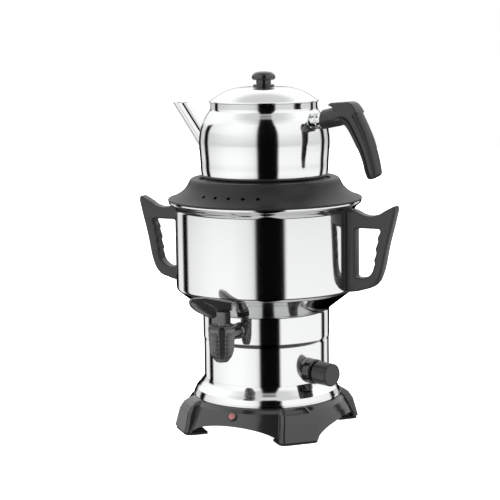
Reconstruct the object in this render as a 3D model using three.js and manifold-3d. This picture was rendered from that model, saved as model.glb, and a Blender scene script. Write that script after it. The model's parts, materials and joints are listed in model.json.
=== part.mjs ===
// Electric tea samovar: a boiler on a heated case, its lid ring, and a teapot that stands on the ring.
// Millimetres, Z up. The tap points to -Y and the boiler's handles to +X and -X.
import * as THREE from "three";
import { mergeVertices } from "three/addons/utils/BufferGeometryUtils.js";
import Module from "manifold-3d";

const wasm = await Module();
wasm.setup();

// Facets of round pieces, by how large they are
const largeSides = 32;
const smallSides = 16;
const pinSides = 8;
const curveSteps = 3;
const hexSides = 6;
const weldDistance = 0.0001;

// Clearances shared by all pieces
const seatGap = 0.3;
const cutOverrun = 6;
const steelWall = 1;

// Base: black moulded skirt with four feet
const footCount = 4;
const padThickness = 3;
const padInset = 1;
const padPlugInset = 4.1;
const baseHeight = 36;
const baseTopRadius = 88.5;
const skirtFloorRadius = 108.5;
const baseWall = 3;
const footReach = 111;
const footInnerRadius = 83;
const footHalfWidth = 25;
const footCornerRadius = 7;
const archHeight = 19;
const archHalfWidth = 58;
const shelfInnerRadius = 72;
const bossRadius = 5;
const bossCircleRadius = 77;

// Bottom cover and its fasteners
const coverThickness = 1.2;
const coverRadius = 91;
const coverHeight = 20;
const screwRadius = 1.9;
const screwHoleRadius = 2.3;
const screwHeadRadius = 4;
const screwHeadHeight = 2;
const screwCrownRadius = 2.8;
const screwGrip = 6;
const tieRadius = 3;
const tieHoleRadius = 3.5;
const tieNutRadius = 6;
const tieNutHeight = 5;
const tieEnd = 4;

// Lower case: polished tube with a flared skirt
const caseRadius = 75;
const caseHeight = 69.5;
const flareRadius = 88;
const flareHeight = 20;
const caseLipWidth = 9;
const beadProud = 1.1;
const beadHeight = 4.2;

// Boiler tank
const neckRadius = 75.8;
const neckHeight = 33;
const coneHeight = 28;
const drumRadius = 107;
const drumHeight = 91.5;
const lipFlare = 7.8;
const lipHeight = 11;

// Heater under the tank
const heaterMargin = 15;
const heaterThickness = 4;
const elementMargin = 16;
const elementTubeRadius = 4;
const elementClearance = 0.9;
const elementOpenAngle = 0.5;
const elementTail = 12;
const elementTailShare = 0.8;
const cutoutRadius = 8;
const cutoutHeight = 7;
const cutoutPlaceShare = 0.5;
const terminalLength = 26;
const terminalWidth = 14;
const terminalHeight = 12;
const terminalPlace = 34;

// Lid ring of the boiler, which carries the teapot
const ringOverhang = 0.2;
const ringHeight = 26;
const ringTopRadius = 87.4;
const ringWall = 3;
const seatRadius = 77.6;
const seatDepth = 4.4;
const steamMouthRadius = 56;
const plugDepth = 6;
const plugGap = 0.4;
const steamHoleRadius = 2.3;
const steamHoleCount = 5;
const steamHoleAngle = 0.178;

// Teapot
const teapotRadius = 77.2;
const teapotHeight = 92.8;
const teapotNeckRadius = 63;
const potWall = 0.9;
const potTurn = -0.17;
const strainerHoleRadius = 1.6;
const strainerPitch = 5;

// Teapot lid and its knob
const lidRise = 17.8;
const lidOverhang = 1.4;
const lidPlugDepth = 6;
const lidPlugGap = 0.9;
const knobHeight = 17.4;
const knobRadius = 13.8;
const knobFootRadius = 12.6;
const knobFootHeight = 2.2;
const knobFootEdge = 0.8;
const knobNeckRadius = 8.6;
const knobHoleDepth = 9;

// Teapot spout
const spoutRootHeight = 30;
const spoutMouthHeight = 89.6;
const spoutMouthReach = 123.5;
const spoutRootRadius = 10.6;
const spoutMouthRadius = 8;
const spoutWall = 1;

// Teapot handle
const potHandleTilt = 0.2;
const potFlangeRadius = 9.6;
const potFerruleRadius = 8.4;
const potTangRadius = 5;
const flangeShare = 0.45;
const filletShare = 0.08;
const gripStart = 84;
const gripReach = 160.6;
const gripTop = 95.2;
const gripBottom = 13.2;
const gripThickness = 21;
const gripBevel = 4;
const setScrewRadius = 2;
const setScrewLength = 5.4;

// Boiler handles
const handleReach = 167;
const handleTop = 271;
const handleBottom = 168;
const handleThickness = 16;
const handleBevelShare = 0.0367;
const handleSpine = 10.3;
const openingWideShare = 0.62;
const openingLowShare = 0.172;
const openingHighShare = 0.735;
const handleScrewSpread = 24;
const handleScrewDepth = 8;

// Tap
const tapHeightShare = 0.5573;
const tapStandOff = 13.3;
const barrelTopRadius = 15.3;
const barrelBottomRadius = 7;
const barrelHeight = 40.3;
const barrelRise = 11.8;
const stemRadius = 7.8;
const tapBore = 4.5;
const chamberRadius = 9;
const chamberDepth = 21;
const tapFlangeRadius = 9.3;
const tapFlangeThickness = 1.5;
const tapTailLength = 13;
const tapSealRadius = 9;
const tapSealThickness = 2;
const tapNutRadius = 14;
const tapNutThickness = 6;
const tapCapHeight = 3.2;
const tapCapEdge = 0.9;
const plugNeckRadius = 4;
const plugNeckLength = 9;
const plugPortRadius = 4;
const plugPortAngle = 2.583;
const plugSealHeight = 2;

// Tap lever: a wing on the plug's neck
const leverRest = -1.012;
const leverFront = 36.5;
const leverBack = 12.5;
const leverHeight = 31.2;
const leverRootWidth = 18;
const leverRootFront = 11;
const leverRootBack = 9.5;
const leverRootHeight = 15;
const wingThickness = 8;
const wingBevel = 1.5;
const recessLength = 34;
const recessWidth = 13;
const recessDepth = 2;
const recessTilt = 0.436;
const recessPlace = 18.5;
const recessHeight = 18.7;

// Thermostat and its knob
const dialAngle = 1.2;
const dialHeight = 75.6;
const dialDiscRadius = 14.6;
const dialDiscThickness = 9;
const dialRadius = 13.4;
const dialLength = 25;
const dialEdge = 2;
const dialNeckRadius = 9;
const dialNeckLength = 3;
const dialShaftRadius = 3;
const dialBushRadius = 4.6;
const thermostatRadius = 15;
const thermostatDepth = 22;
const dialShaftInside = 10;
const dialShaftOutside = 18;

// Pilot light and cord gland, both in the base's skirt
const pilotRadius = 5.7;
const pilotTubeRadius = 4.2;
const pilotFlange = 1.8;
const pilotLength = 8;
const pilotLip = 1;
const pilotBevel = 0.7;
const lensRadius = 4.4;
const lensRise = 2.2;
const glandRadius = 5.4;
const glandFlangeRadius = 8;
const glandBore = 3.8;
const glandFlange = 3;
const glandLength = 6;

// Sizes and heights that follow from those above
const lipReach = drumRadius + lipFlare;
const ringReach = lipReach + ringOverhang;
const heaterRadius = caseRadius - heaterMargin;
const elementRadius = heaterRadius - elementMargin;
const handleBevel = (handleReach - drumRadius) * handleBevelShare;
const openingWidth = (handleReach - drumRadius - handleSpine) * openingWideShare;
const baseTop = padThickness + baseHeight;
const caseBottom = baseTop + seatGap;
const caseTop = caseBottom + caseHeight;
const tankBottom = caseTop + seatGap;
const neckTop = tankBottom + neckHeight;
const tapHeight = tankBottom + neckHeight * tapHeightShare;
const barrelTop = tapHeight + barrelRise;
const tapReach = drumRadius + tapStandOff;
const drumBottom = neckTop + coneHeight;
const tankTop = drumBottom + drumHeight + lipHeight;
const ringBottom = tankTop + seatGap;
const ringTop = ringBottom + ringHeight;
const seatHeight = ringTop - seatDepth;
const potBottom = seatHeight + seatGap;
const potTop = potBottom + teapotHeight;
const lidBottom = potTop + seatGap;
const lidTop = lidBottom + lidRise;
const knobBottom = lidTop + seatGap;
const cornerAngle = Math.PI / footCount;

// Finishes
const steel = new THREE.MeshStandardMaterial({ color: 0xd6d8da, metalness: 1, roughness: 0.1 });
const plainSteel = new THREE.MeshStandardMaterial({ color: 0xb4b6b8, metalness: 1, roughness: 0.35 });
const blackPlastic = new THREE.MeshStandardMaterial({ color: 0x1a1a1b, metalness: 0, roughness: 0.32 });
const rubber = new THREE.MeshStandardMaterial({ color: 0x151515, metalness: 0, roughness: 0.85 });
const silicone = new THREE.MeshStandardMaterial({ color: 0xd8d4cc, metalness: 0, roughness: 0.6 });
const aluminium = new THREE.MeshStandardMaterial({ color: 0xbfc2c5, metalness: 1, roughness: 0.45 });
const ceramic = new THREE.MeshStandardMaterial({ color: 0xe4dfd2, metalness: 0, roughness: 0.7 });
const redLens = new THREE.MeshStandardMaterial({ color: 0xc8707a, metalness: 0, roughness: 0.2 });

// A closed mesh as a solid: shared corners are merged and faces turned outwards.
function toSolid(geometry) {
  const loose = geometry.index ? geometry.toNonIndexed() : geometry;
  const bare = new THREE.BufferGeometry().setAttribute("position", loose.getAttribute("position"));
  const merged = mergeVertices(bare, weldDistance);
  const corners = merged.index.array;
  const kept = [];
  for (let i = 0; i < corners.length; i += 3) {
    const [a, b, c] = [corners[i], corners[i + 1], corners[i + 2]];
    if (a !== b && b !== c && c !== a) kept.push([a, b, c]);
  }
  const make = (faces) =>
    new wasm.Manifold(
      new wasm.Mesh({
        numProp: 3,
        vertProperties: merged.attributes.position.array,
        triVerts: new Uint32Array(faces.flat()),
      }),
    );
  const solid = make(kept);
  return solid.volume() > 0 ? solid : make(kept.map(([a, b, c]) => [a, c, b]));
}

// The solid's faces as a three.js geometry
function toGeometry(solid) {
  const mesh = solid.getMesh();
  const geometry = new THREE.BufferGeometry();
  geometry.setAttribute("position", new THREE.BufferAttribute(new Float32Array(mesh.vertProperties), 3));
  geometry.setIndex(new THREE.BufferAttribute(new Uint32Array(mesh.triVerts), 1));
  geometry.computeVertexNormals();
  return geometry;
}

// Adds one named piece to a group.
function piece(name, solid, material, group) {
  const mesh = new THREE.Mesh(toGeometry(solid), material);
  mesh.name = name;
  group.add(mesh);
  return mesh;
}

// A profile of [radius, height] turned about Z. It starts and ends on the axis.
function turned(profile, sides = largeSides) {
  const points = profile.map(([r, z]) => new THREE.Vector2(r, z));
  return toSolid(new THREE.LatheGeometry(points, sides).rotateX(Math.PI / 2));
}

// The same for a ring, whose profile closes on itself
function turnedRing(profile, sides = largeSides) {
  return turned([...profile, profile[0]], sides);
}

// A plain round bar about Z between two heights
function bar(radius, low, high, sides = smallSides) {
  return turned([[0, low], [radius, low], [radius, high], [0, high]], sides);
}

// A plain washer or tube about Z
function sleeve(inner, outer, low, high, sides = smallSides) {
  return turnedRing([[inner, low], [outer, low], [outer, high], [inner, high]], sides);
}

// A block between two corners
function block([x0, y0, z0], [x1, y1, z1]) {
  const box = new THREE.BoxGeometry(x1 - x0, y1 - y0, z1 - z0);
  return toSolid(box.translate((x0 + x1) / 2, (y0 + y1) / 2, (z0 + z1) / 2));
}

// A path set back to its left by a distance, with mitred corners. Ends on the axis stay on it.
function setBack(path, distance) {
  const normals = path.slice(1).map(([r, z], i) => {
    const [dr, dz] = [r - path[i][0], z - path[i][1]];
    const length = Math.hypot(dr, dz);
    return [-dz / length, dr / length];
  });
  return path.map(([r, z], i) => {
    const before = normals[Math.max(i - 1, 0)];
    const after = normals[Math.min(i, normals.length - 1)];
    const scale = distance / (1 + before[0] * after[0] + before[1] * after[1]);
    const spot = [r + (before[0] + after[0]) * scale, z + (before[1] + after[1]) * scale];
    return r === 0 ? [0, spot[1]] : spot;
  });
}

// A sheet of even thickness along an outer path
function shellProfile(path, wall) {
  return [...path, ...setBack(path, wall).reverse()];
}

// A flat outline of X and Z with rounded edges, standing centred on Y
function standing(outline, holes, thickness, bevel) {
  const shape = new THREE.Shape(outline);
  shape.holes = holes.map((hole) => new THREE.Path(hole));
  const depth = thickness - 2 * bevel;
  const geometry = new THREE.ExtrudeGeometry(shape, {
    depth,
    bevelEnabled: bevel > 0,
    bevelThickness: bevel,
    bevelSize: bevel,
    bevelOffset: -bevel,
    bevelSegments: curveSteps - 1,
    curveSegments: curveSteps,
  });
  return toSolid(geometry.translate(0, 0, -depth / 2).rotateX(Math.PI / 2));
}

// A skin through rings of points, closed by a fan at each end
function lofted(rings) {
  const sides = rings[0].length;
  const middle = (ring) => ring.reduce((sum, p) => sum.add(p), new THREE.Vector3()).divideScalar(sides);
  const points = [...rings.flat(), middle(rings[0]), middle(rings[rings.length - 1])];
  const [firstMiddle, lastMiddle] = [points.length - 2, points.length - 1];
  const lastRing = (rings.length - 1) * sides;
  const faces = [];
  for (let side = 0; side < sides; side++) {
    const next = (side + 1) % sides;
    for (let ring = 0; ring < lastRing; ring += sides) {
      faces.push(ring + side, ring + next, ring + sides + next);
      faces.push(ring + side, ring + sides + next, ring + sides + side);
    }
    faces.push(firstMiddle, next, side);
    faces.push(lastMiddle, lastRing + side, lastRing + next);
  }
  const geometry = new THREE.BufferGeometry().setFromPoints(points);
  geometry.setIndex(faces);
  return toSolid(geometry);
}

// Turning and moving solids
function turnedAbout(solid, x, y, z) {
  const degrees = (angle) => (angle * 180) / Math.PI;
  return solid.rotate([degrees(x), degrees(y), degrees(z)]);
}
const moved = (solid, x, y, z) => solid.translate([x, y, z]);
const joined = (solids) => solids.reduce((all, next) => all.add(next));
const aroundZ = (count, make) => Array.from({ length: count }, (_, i) => make((i * 2 * Math.PI) / count, i));

// A bar or sleeve about Z, laid along X
const alongX = (solid) => turnedAbout(solid, 0, Math.PI / 2, 0);

const appliance = new THREE.Group();

// A group at an angle about the main axis, so that its X points outwards
function facing(angle) {
  const group = new THREE.Group();
  group.rotation.z = angle;
  appliance.add(group);
  return group;
}

const frontAngle = -Math.PI / 2;
const tapSide = facing(frontAngle);
const dialFacing = frontAngle + dialAngle;
const dialSide = facing(dialFacing);
const handleSides = [facing(0), facing(Math.PI)];
const potSide = facing(potTurn);
const spoutSide = facing(potTurn + Math.PI);
const backSide = facing(-frontAngle);

// Base

const footShares = [
  [0, 1, 1],
  [0.27, 0.89, 0.96],
  [0.61, 0.76, 0.84],
  [0.84, 0.51, 0.72],
  [1, 0.12, 0.6],
];
const skirtShares = [
  [1, 0],
  [0.97, 0.04],
  [0.74, 0.38],
  [0.38, 0.78],
  [0, 1],
];

// A foot's outline at one height, from its inner end round its rounded outer corners
function footRing(height, reach, halfWidth, inner, corner) {
  const round = Math.min(corner, halfWidth / 2, (reach - inner) / 2);
  const turns = [0, Math.PI / 4, Math.PI / 2];
  const outer = turns.map((turn) => [
    reach - round + round * Math.cos(turn),
    halfWidth - round + round * Math.sin(turn),
  ]);
  const half = [...outer, [inner, halfWidth]];
  const mirrored = half.map(([x, y]) => [x, -y]).reverse();
  return [...half, ...mirrored].map(([x, y]) => new THREE.Vector3(x, y, height));
}

// A foot from its pad to the base's top, set in on all sides by a margin
function footBlock(low, high, margin) {
  const rings = footShares.map(([up, out, wide]) =>
    footRing(
      low + (high - low) * up,
      baseTopRadius + (footReach - baseTopRadius) * out - margin,
      footHalfWidth * wide - margin,
      footInnerRadius + margin,
      footCornerRadius,
    ),
  );
  return lofted(rings);
}

// The low arch between two feet, cut right through the skirt
function archCut() {
  const reach = footReach + cutOverrun;
  const rise = Array.from({ length: smallSides + 1 }, (_, i) => (Math.PI * i) / smallSides);
  const outline = rise.map(
    (turn) => new THREE.Vector2(archHalfWidth * Math.cos(turn), archHeight * Math.sin(turn)),
  );
  outline.push(new THREE.Vector2(-archHalfWidth, -cutOverrun), new THREE.Vector2(archHalfWidth, -cutOverrun));
  const arch = standing(outline, [], reach, 0);
  return moved(turnedAbout(arch, 0, 0, Math.PI / 2), reach / 2 + tieEnd, 0, 0);
}

// Where the skirt's slope turns, and how steep it is there
function skirtPose() {
  const [above, here, below] = [skirtShares[1], skirtShares[2], skirtShares[3]];
  const floor = padThickness + seatGap;
  const rise = baseTop - floor;
  const spread = skirtFloorRadius - baseTopRadius;
  return {
    radius: baseTopRadius + spread * here[1],
    height: floor + rise * here[0],
    slope: Math.atan2(spread * (below[1] - above[1]), rise * (above[0] - below[0])),
  };
}

function buildBase() {
  const floor = padThickness + seatGap;
  const rise = baseTop - floor;
  const spread = skirtFloorRadius - baseTopRadius;
  const outer = skirtShares.map(([up, out]) => [baseTopRadius + spread * out, floor + rise * up]);
  const path = [[shelfInnerRadius, baseTop], ...outer].reverse();
  const skirt = turnedRing(shellProfile(path, baseWall)).trimByPlane([0, 0, 1], floor);
  const arch = archCut();
  const arches = joined(aroundZ(footCount, (angle) => turnedAbout(arch, 0, 0, angle)));
  const foot = footBlock(floor, baseTop - seatGap, 0);
  const hollow = moved(footBlock(floor, baseTop - baseWall, baseWall), 0, 0, -seatGap);
  const feet = joined(aroundZ(footCount, (angle) => turnedAbout(foot, 0, 0, angle + cornerAngle)));
  const hollows = joined(aroundZ(footCount, (angle) => turnedAbout(hollow, 0, 0, angle + cornerAngle)));
  const bossLow = coverHeight + coverThickness + seatGap;
  const post = bar(bossRadius, bossLow, baseTop - baseWall / 2, pinSides);
  const pilotHole = bar(screwHoleRadius, bossLow - cutOverrun, bossLow + screwGrip, pinSides);
  const onCircle = (solid) => {
    return aroundZ(footCount, (angle) => turnedAbout(moved(solid, bossCircleRadius, 0, 0), 0, 0, angle));
  };
  const [posts, holes] = [onCircle(post), onCircle(pilotHole)];
  const body = skirt.subtract(arches).add(feet).subtract(hollows);
  const openings = [
    ...holes,
    skirtCut(pilotTubeRadius + seatGap, frontAngle),
    skirtCut(glandRadius + seatGap, -frontAngle),
  ];
  return body.add(joined(posts)).subtract(joined(openings));
}

// A round hole through the skirt's slope, at an angle about the main axis
function skirtCut(radius, angle) {
  const place = skirtPose();
  const hole = turnedAbout(bar(radius, -cutOverrun, cutOverrun), 0, Math.PI / 2 - place.slope, 0);
  return turnedAbout(moved(hole, place.radius, 0, place.height), 0, 0, angle);
}

piece("base", buildBase(), blackPlastic, appliance);

// Rubber pads under the feet, each with a plug in the foot's hollow
function buildPad() {
  const padRing = (inset) =>
    footRing(0, footReach - inset, footHalfWidth - inset, footInnerRadius + inset, footCornerRadius);
  const lift = (ring, height) => ring.map((p) => p.clone().setZ(height));
  const sole = padRing(padInset);
  const plug = padRing(padPlugInset);
  const disc = lofted([sole, lift(sole, padThickness)]);
  return disc.add(lofted([lift(plug, padThickness / 2), lift(plug, 2 * padThickness)]));
}

const pad = buildPad();
aroundZ(footCount, (angle, i) => {
  piece(`foot_pad_${i + 1}`, turnedAbout(pad, 0, 0, angle + cornerAngle), rubber, appliance);
});

// A plate that closes the base from below, shaped round the four feet
function buildCover() {
  const [low, high] = [coverHeight, coverHeight + coverThickness];
  const plate = sleeve(tieHoleRadius, coverRadius, low, high, largeSides);
  const foot = footBlock(padThickness, baseTop, -2 * seatGap);
  const drill = bar(screwHoleRadius, low - cutOverrun, high + cutOverrun, pinSides);
  const hole = moved(drill, bossCircleRadius, 0, 0);
  const cuts = aroundZ(footCount, (angle) => [
    turnedAbout(foot, 0, 0, angle + cornerAngle),
    turnedAbout(hole, 0, 0, angle),
  ]);
  return plate.subtract(joined(cuts.flat()));
}

piece("bottom_cover", buildCover(), plainSteel, appliance);

// A pan-head screw that points up, with its head's top at height zero
function screw(length) {
  const head = [
    [0, -screwHeadHeight],
    [screwCrownRadius, -screwHeadHeight],
    [screwHeadRadius, -screwHeadHeight / 2],
    [screwHeadRadius, 0],
  ];
  return turned([...head, [screwRadius, 0], [screwRadius, length], [0, length]], pinSides);
}

aroundZ(footCount, (angle, i) => {
  const fitted = moved(screw(coverThickness + screwGrip), bossCircleRadius, 0, coverHeight - seatGap);
  piece(`cover_screw_${i + 1}`, turnedAbout(fitted, 0, 0, angle), plainSteel, appliance);
});

// Lower case

const flareShares = [
  [0, 1],
  [0.1, 0.96],
  [0.46, 0.74],
  [0.5, 0.69],
  [0.76, 0.32],
  [1, 0],
];

function casePath() {
  const flare = flareShares.map(([up, out]) => [
    caseRadius + (flareRadius - caseRadius) * out,
    caseBottom + flareHeight * up,
  ]);
  return [
    ...flare,
    [caseRadius, caseTop - beadHeight],
    [caseRadius + beadProud, caseTop - beadHeight / 2],
    [caseRadius + beadProud / 2, caseTop],
    [caseRadius - caseLipWidth, caseTop],
  ];
}

// The space that the case takes up, with a clearance round it
function caseSpace() {
  const grown = setBack(casePath(), -seatGap);
  return turned([[0, caseBottom], ...grown, [0, caseTop + seatGap]]);
}

function buildCase() {
  const tube = turnedRing(shellProfile(casePath(), steelWall)).trimByPlane([0, 0, 1], caseBottom);
  const bushHole = alongX(bar(dialBushRadius + seatGap, caseRadius - cutOverrun, caseRadius + cutOverrun));
  return tube.subtract(turnedAbout(moved(bushHole, 0, 0, dialHeight), 0, 0, dialFacing));
}

piece("lower_case", buildCase(), steel, appliance);

// Boiler tank

const coneShares = [
  [0.1, 0.05],
  [0.84, 0.9],
  [0.95, 0.98],
  [1.03, 1],
];
const lipShares = [
  [0.26, 0.21],
  [0.72, 0.92],
  [0.86, 1],
  [1, 0.95],
];

function tankPath() {
  const drumTop = tankTop - lipHeight;
  const cone = coneShares.map(([up, out]) => [
    neckRadius + (drumRadius - neckRadius) * out,
    neckTop + coneHeight * up,
  ]);
  const lip = lipShares.map(([up, out]) => [
    drumRadius + (lipReach - drumRadius) * out,
    drumTop + lipHeight * up,
  ]);
  return [
    [0, tankBottom],
    [neckRadius - 2 * steelWall, tankBottom],
    [neckRadius, tankBottom + 2 * steelWall],
    [neckRadius, neckTop],
    ...cone,
    [drumRadius, drumTop],
    ...lip,
  ];
}

// Heights of a boiler handle's two bolts, at the upper and lower ends of its spine
const handleMiddle = (handleTop - handleSpine + handleBottom) / 2;
const handleBoltHeights = [handleMiddle - handleScrewSpread, handleMiddle + handleScrewSpread];

function buildTank() {
  const hole = alongX(bar(screwHoleRadius, drumRadius - cutOverrun, drumRadius + cutOverrun, pinSides));
  const tapHole = alongX(bar(stemRadius + seatGap, neckRadius - cutOverrun, neckRadius + cutOverrun));
  const holes = handleBoltHeights.flatMap((height) =>
    [0, Math.PI].map((angle) => turnedAbout(moved(hole, 0, 0, height), 0, 0, angle)),
  );
  holes.push(turnedAbout(moved(tapHole, 0, 0, tapHeight), 0, 0, frontAngle));
  return turned(shellProfile(tankPath(), steelWall)).subtract(joined(holes));
}

piece("boiler_tank", buildTank(), steel, appliance);

// Heater under the tank

const heaterTop = tankBottom - seatGap;
const heaterBottom = heaterTop - heaterThickness;
piece("heater_plate", bar(heaterRadius, heaterBottom, heaterTop, largeSides), aluminium, appliance);

function buildElement() {
  const height = heaterBottom - elementClearance - elementTubeRadius;
  const turns = Array.from({ length: smallSides + 1 }, (_, i) => {
    const angle = elementOpenAngle + ((2 * Math.PI - 2 * elementOpenAngle) * i) / smallSides;
    return new THREE.Vector3(elementRadius * Math.cos(angle), elementRadius * Math.sin(angle), height);
  });
  const [first, last] = [turns[0], turns[turns.length - 1]];
  const drop = (p) => {
    return new THREE.Vector3(p.x + elementTubeRadius, p.y * elementTailShare, height - elementTail);
  };
  const curve = new THREE.CatmullRomCurve3([drop(first), ...turns, drop(last)], false, "centripetal");
  const section = Array.from({ length: pinSides }, (_, i) => {
    const turn = (i * 2 * Math.PI) / pinSides;
    return new THREE.Vector2(elementTubeRadius * Math.cos(turn), elementTubeRadius * Math.sin(turn));
  });
  const settings = { steps: 2 * smallSides, extrudePath: curve, bevelEnabled: false };
  return toSolid(new THREE.ExtrudeGeometry(new THREE.Shape(section), settings));
}

piece("heating_element", buildElement(), plainSteel, appliance);

const cutoutTop = heaterBottom - seatGap;
piece(
  "thermal_cutout",
  moved(bar(cutoutRadius, cutoutTop - cutoutHeight, cutoutTop), -elementRadius * cutoutPlaceShare, 0, 0),
  ceramic,
  appliance,
);

function buildTerminalBlock() {
  const low = coverHeight + coverThickness + seatGap;
  return block(
    [-terminalLength / 2, terminalPlace, low],
    [terminalLength / 2, terminalPlace + terminalWidth, low + terminalHeight],
  );
}

piece("terminal_block", buildTerminalBlock(), ceramic, appliance);

const tieTop = heaterBottom - seatGap;
const tieBottom = coverHeight - tieNutHeight - tieEnd;
piece("tie_rod", bar(tieRadius, tieBottom, tieTop), plainSteel, appliance);
const tieNutTop = coverHeight - seatGap;
const tieNut = sleeve(tieRadius + seatGap, tieNutRadius, tieNutTop - tieNutHeight, tieNutTop, 2 * hexSides);
piece("tie_nut", tieNut, plainSteel, appliance);

// Thermostat and its knob, on an axis that points out of the case

function buildThermostat() {
  const inside = caseRadius - steelWall;
  const face = Math.sqrt(inside ** 2 - thermostatRadius ** 2) - seatGap;
  const profile = [
    [dialShaftRadius + seatGap, face - thermostatDepth + dialShaftInside],
    [0, face - thermostatDepth + dialShaftInside],
    [0, face - thermostatDepth],
    [thermostatRadius, face - thermostatDepth],
    [thermostatRadius, face],
    [dialBushRadius, face],
    [dialBushRadius, caseRadius + dialDiscThickness],
    [dialShaftRadius + seatGap, caseRadius + dialDiscThickness],
  ];
  const ordered = [...profile.slice(2), ...profile.slice(0, 2)];
  return { solid: alongX(turned(ordered, smallSides)), back: face - thermostatDepth + dialShaftInside };
}

const thermostat = buildThermostat();
dialSide.position.z = dialHeight;
piece("thermostat", thermostat.solid, ceramic, dialSide);
const discEnd = caseRadius + seatGap + dialDiscThickness;

// The fixed disc behind the knob, shaped to the case
function buildDisc() {
  const washer = sleeve(dialBushRadius + seatGap, dialDiscRadius, caseRadius - dialDiscThickness, discEnd);
  return alongX(washer).subtract(moved(turnedAbout(caseSpace(), 0, 0, -dialFacing), 0, 0, -dialHeight));
}

piece("knob_disc", buildDisc(), blackPlastic, dialSide);
const dialStart = discEnd + seatGap;
const dialEnd = dialStart + dialLength;
const shaftEnd = dialStart + dialShaftOutside;
const dialKnob = [
  [0, dialEnd],
  [dialRadius - dialEdge, dialEnd],
  [dialRadius, dialEnd - dialEdge],
  [dialRadius, dialStart + dialNeckLength],
  [dialNeckRadius, dialStart + dialNeckLength],
  [dialNeckRadius, dialStart],
  [dialShaftRadius + seatGap, dialStart],
  [dialShaftRadius + seatGap, shaftEnd + seatGap],
  [0, shaftEnd + seatGap],
];
piece("thermostat_knob", alongX(turned(dialKnob, smallSides)), blackPlastic, dialSide);
piece(
  "thermostat_shaft",
  alongX(bar(dialShaftRadius, thermostat.back + seatGap, shaftEnd, pinSides)),
  plainSteel,
  dialSide,
);

// A group square to the skirt's slope, with its Z pointing out of it
function skirtGroup(side) {
  const place = skirtPose();
  const group = new THREE.Group();
  group.position.set(place.radius, 0, place.height);
  group.rotation.y = Math.PI / 2 - place.slope;
  side.add(group);
  return group;
}

// Pilot light
const pilotGroup = skirtGroup(tapSide);
const pilotFace = seatGap + pilotFlange;
const pilotHousing = [
  [lensRadius - pilotLip, -pilotLength],
  [pilotTubeRadius, -pilotLength],
  [pilotTubeRadius, seatGap],
  [pilotRadius, seatGap],
  [pilotRadius, pilotFace - pilotBevel],
  [pilotRadius - pilotBevel, pilotFace],
  [lensRadius - pilotLip, pilotFace],
];
piece("pilot_housing", turnedRing(pilotHousing, smallSides), blackPlastic, pilotGroup);
const lensShares = [
  [0, 1],
  [0.4, 1],
  [0.85, 0.7],
  [1, 0],
];
const lensBottom = pilotFace + seatGap;
const lens = lensShares.map(([up, out]) => [lensRadius * out, lensBottom + lensRise * up]);
piece("pilot_lens", turned([[0, lensBottom], ...lens], smallSides), redLens, pilotGroup);

// Cord gland at the back, where the pilot light is at the front
const glandGroup = skirtGroup(backSide);
const gland = [
  [glandBore, -glandLength],
  [glandRadius, -glandLength],
  [glandRadius, seatGap],
  [glandFlangeRadius, seatGap],
  [glandFlangeRadius, glandFlange / 2],
  [glandFlangeRadius - glandFlange / 2, seatGap + glandFlange],
  [glandBore, seatGap + glandFlange],
];
piece("cord_gland", turnedRing(gland, smallSides), blackPlastic, glandGroup);

// Lid ring of the boiler: a black ring that covers the boiler's rim and carries the teapot

const ringShares = [
  [0, 1],
  [0.05, 1.007],
  [0.088, 0.975],
  [0.21, 0.674],
  [0.381, 0.424],
  [0.565, 0.246],
  [0.746, 0.138],
  [0.908, 0.058],
  [0.98, 0],
];

function ringCurve() {
  return ringShares.map(([up, out]) => [
    ringTopRadius + (ringReach - ringTopRadius) * out,
    ringBottom + ringHeight * up,
  ]);
}

function buildRing() {
  const outer = ringCurve();
  const edge = ringWall / 2;
  const shelfBottom = seatHeight - ringWall;
  const plugOuter = drumRadius - steelWall - plugGap;
  const plugInner = plugOuter - ringWall;
  const inner = setBack(outer, ringWall).filter(([r, z]) => r < plugInner && z < shelfBottom);
  const plugBottom = ringBottom - plugDepth;
  const profile = [
    ...outer,
    [ringTopRadius - edge, ringTop],
    [seatRadius + edge, ringTop],
    [seatRadius, ringTop - edge],
    [seatRadius, seatHeight],
    [steamMouthRadius, seatHeight],
    [steamMouthRadius, shelfBottom],
    [inner[inner.length - 1][0] - edge, shelfBottom],
    ...inner.reverse(),
    [plugInner, ringBottom + ringWall],
    [plugInner, plugBottom],
    [plugOuter, plugBottom],
    [plugOuter, ringBottom],
  ];
  return turnedRing(profile).subtract(joined(steamHoles()));
}

// A row of holes across the ring's slope above the tap
function steamHoles() {
  const curve = ringCurve();
  const [low, high] = [curve[3], curve[5]];
  const [r, z] = curve[4];
  const slope = Math.atan2(high[1] - low[1], low[0] - high[0]);
  const hole = turnedAbout(bar(steamHoleRadius, -2 * ringWall, ringWall, pinSides), 0, slope, 0);
  return Array.from({ length: steamHoleCount }, (_, i) => {
    const angle = frontAngle + (i - (steamHoleCount - 1) / 2) * steamHoleAngle;
    return turnedAbout(moved(hole, r, 0, z), 0, 0, angle);
  });
}

piece("boiler_lid_ring", buildRing(), blackPlastic, appliance);

// Teapot

const potShares = [
  [0, 0.855],
  [0.018, 0.926],
  [0.067, 0.962],
  [0.272, 0.984],
  [0.48, 1],
  [0.63, 0.985],
  [0.735, 0.952],
  [0.805, 0.907],
  [0.9, 0.828],
];
const potPath = [
  [0, potBottom],
  ...potShares.map(([up, out]) => [teapotRadius * out, potBottom + teapotHeight * up]),
  [teapotNeckRadius, potTop - lidPlugDepth],
  [teapotNeckRadius, potTop],
];

// The space that the teapot's body takes up, with a clearance round it
function potSpace() {
  const grown = setBack(potPath, -seatGap);
  return turnedAbout(turned([...grown, [0, potTop]]), 0, 0, -potTurn);
}

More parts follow.
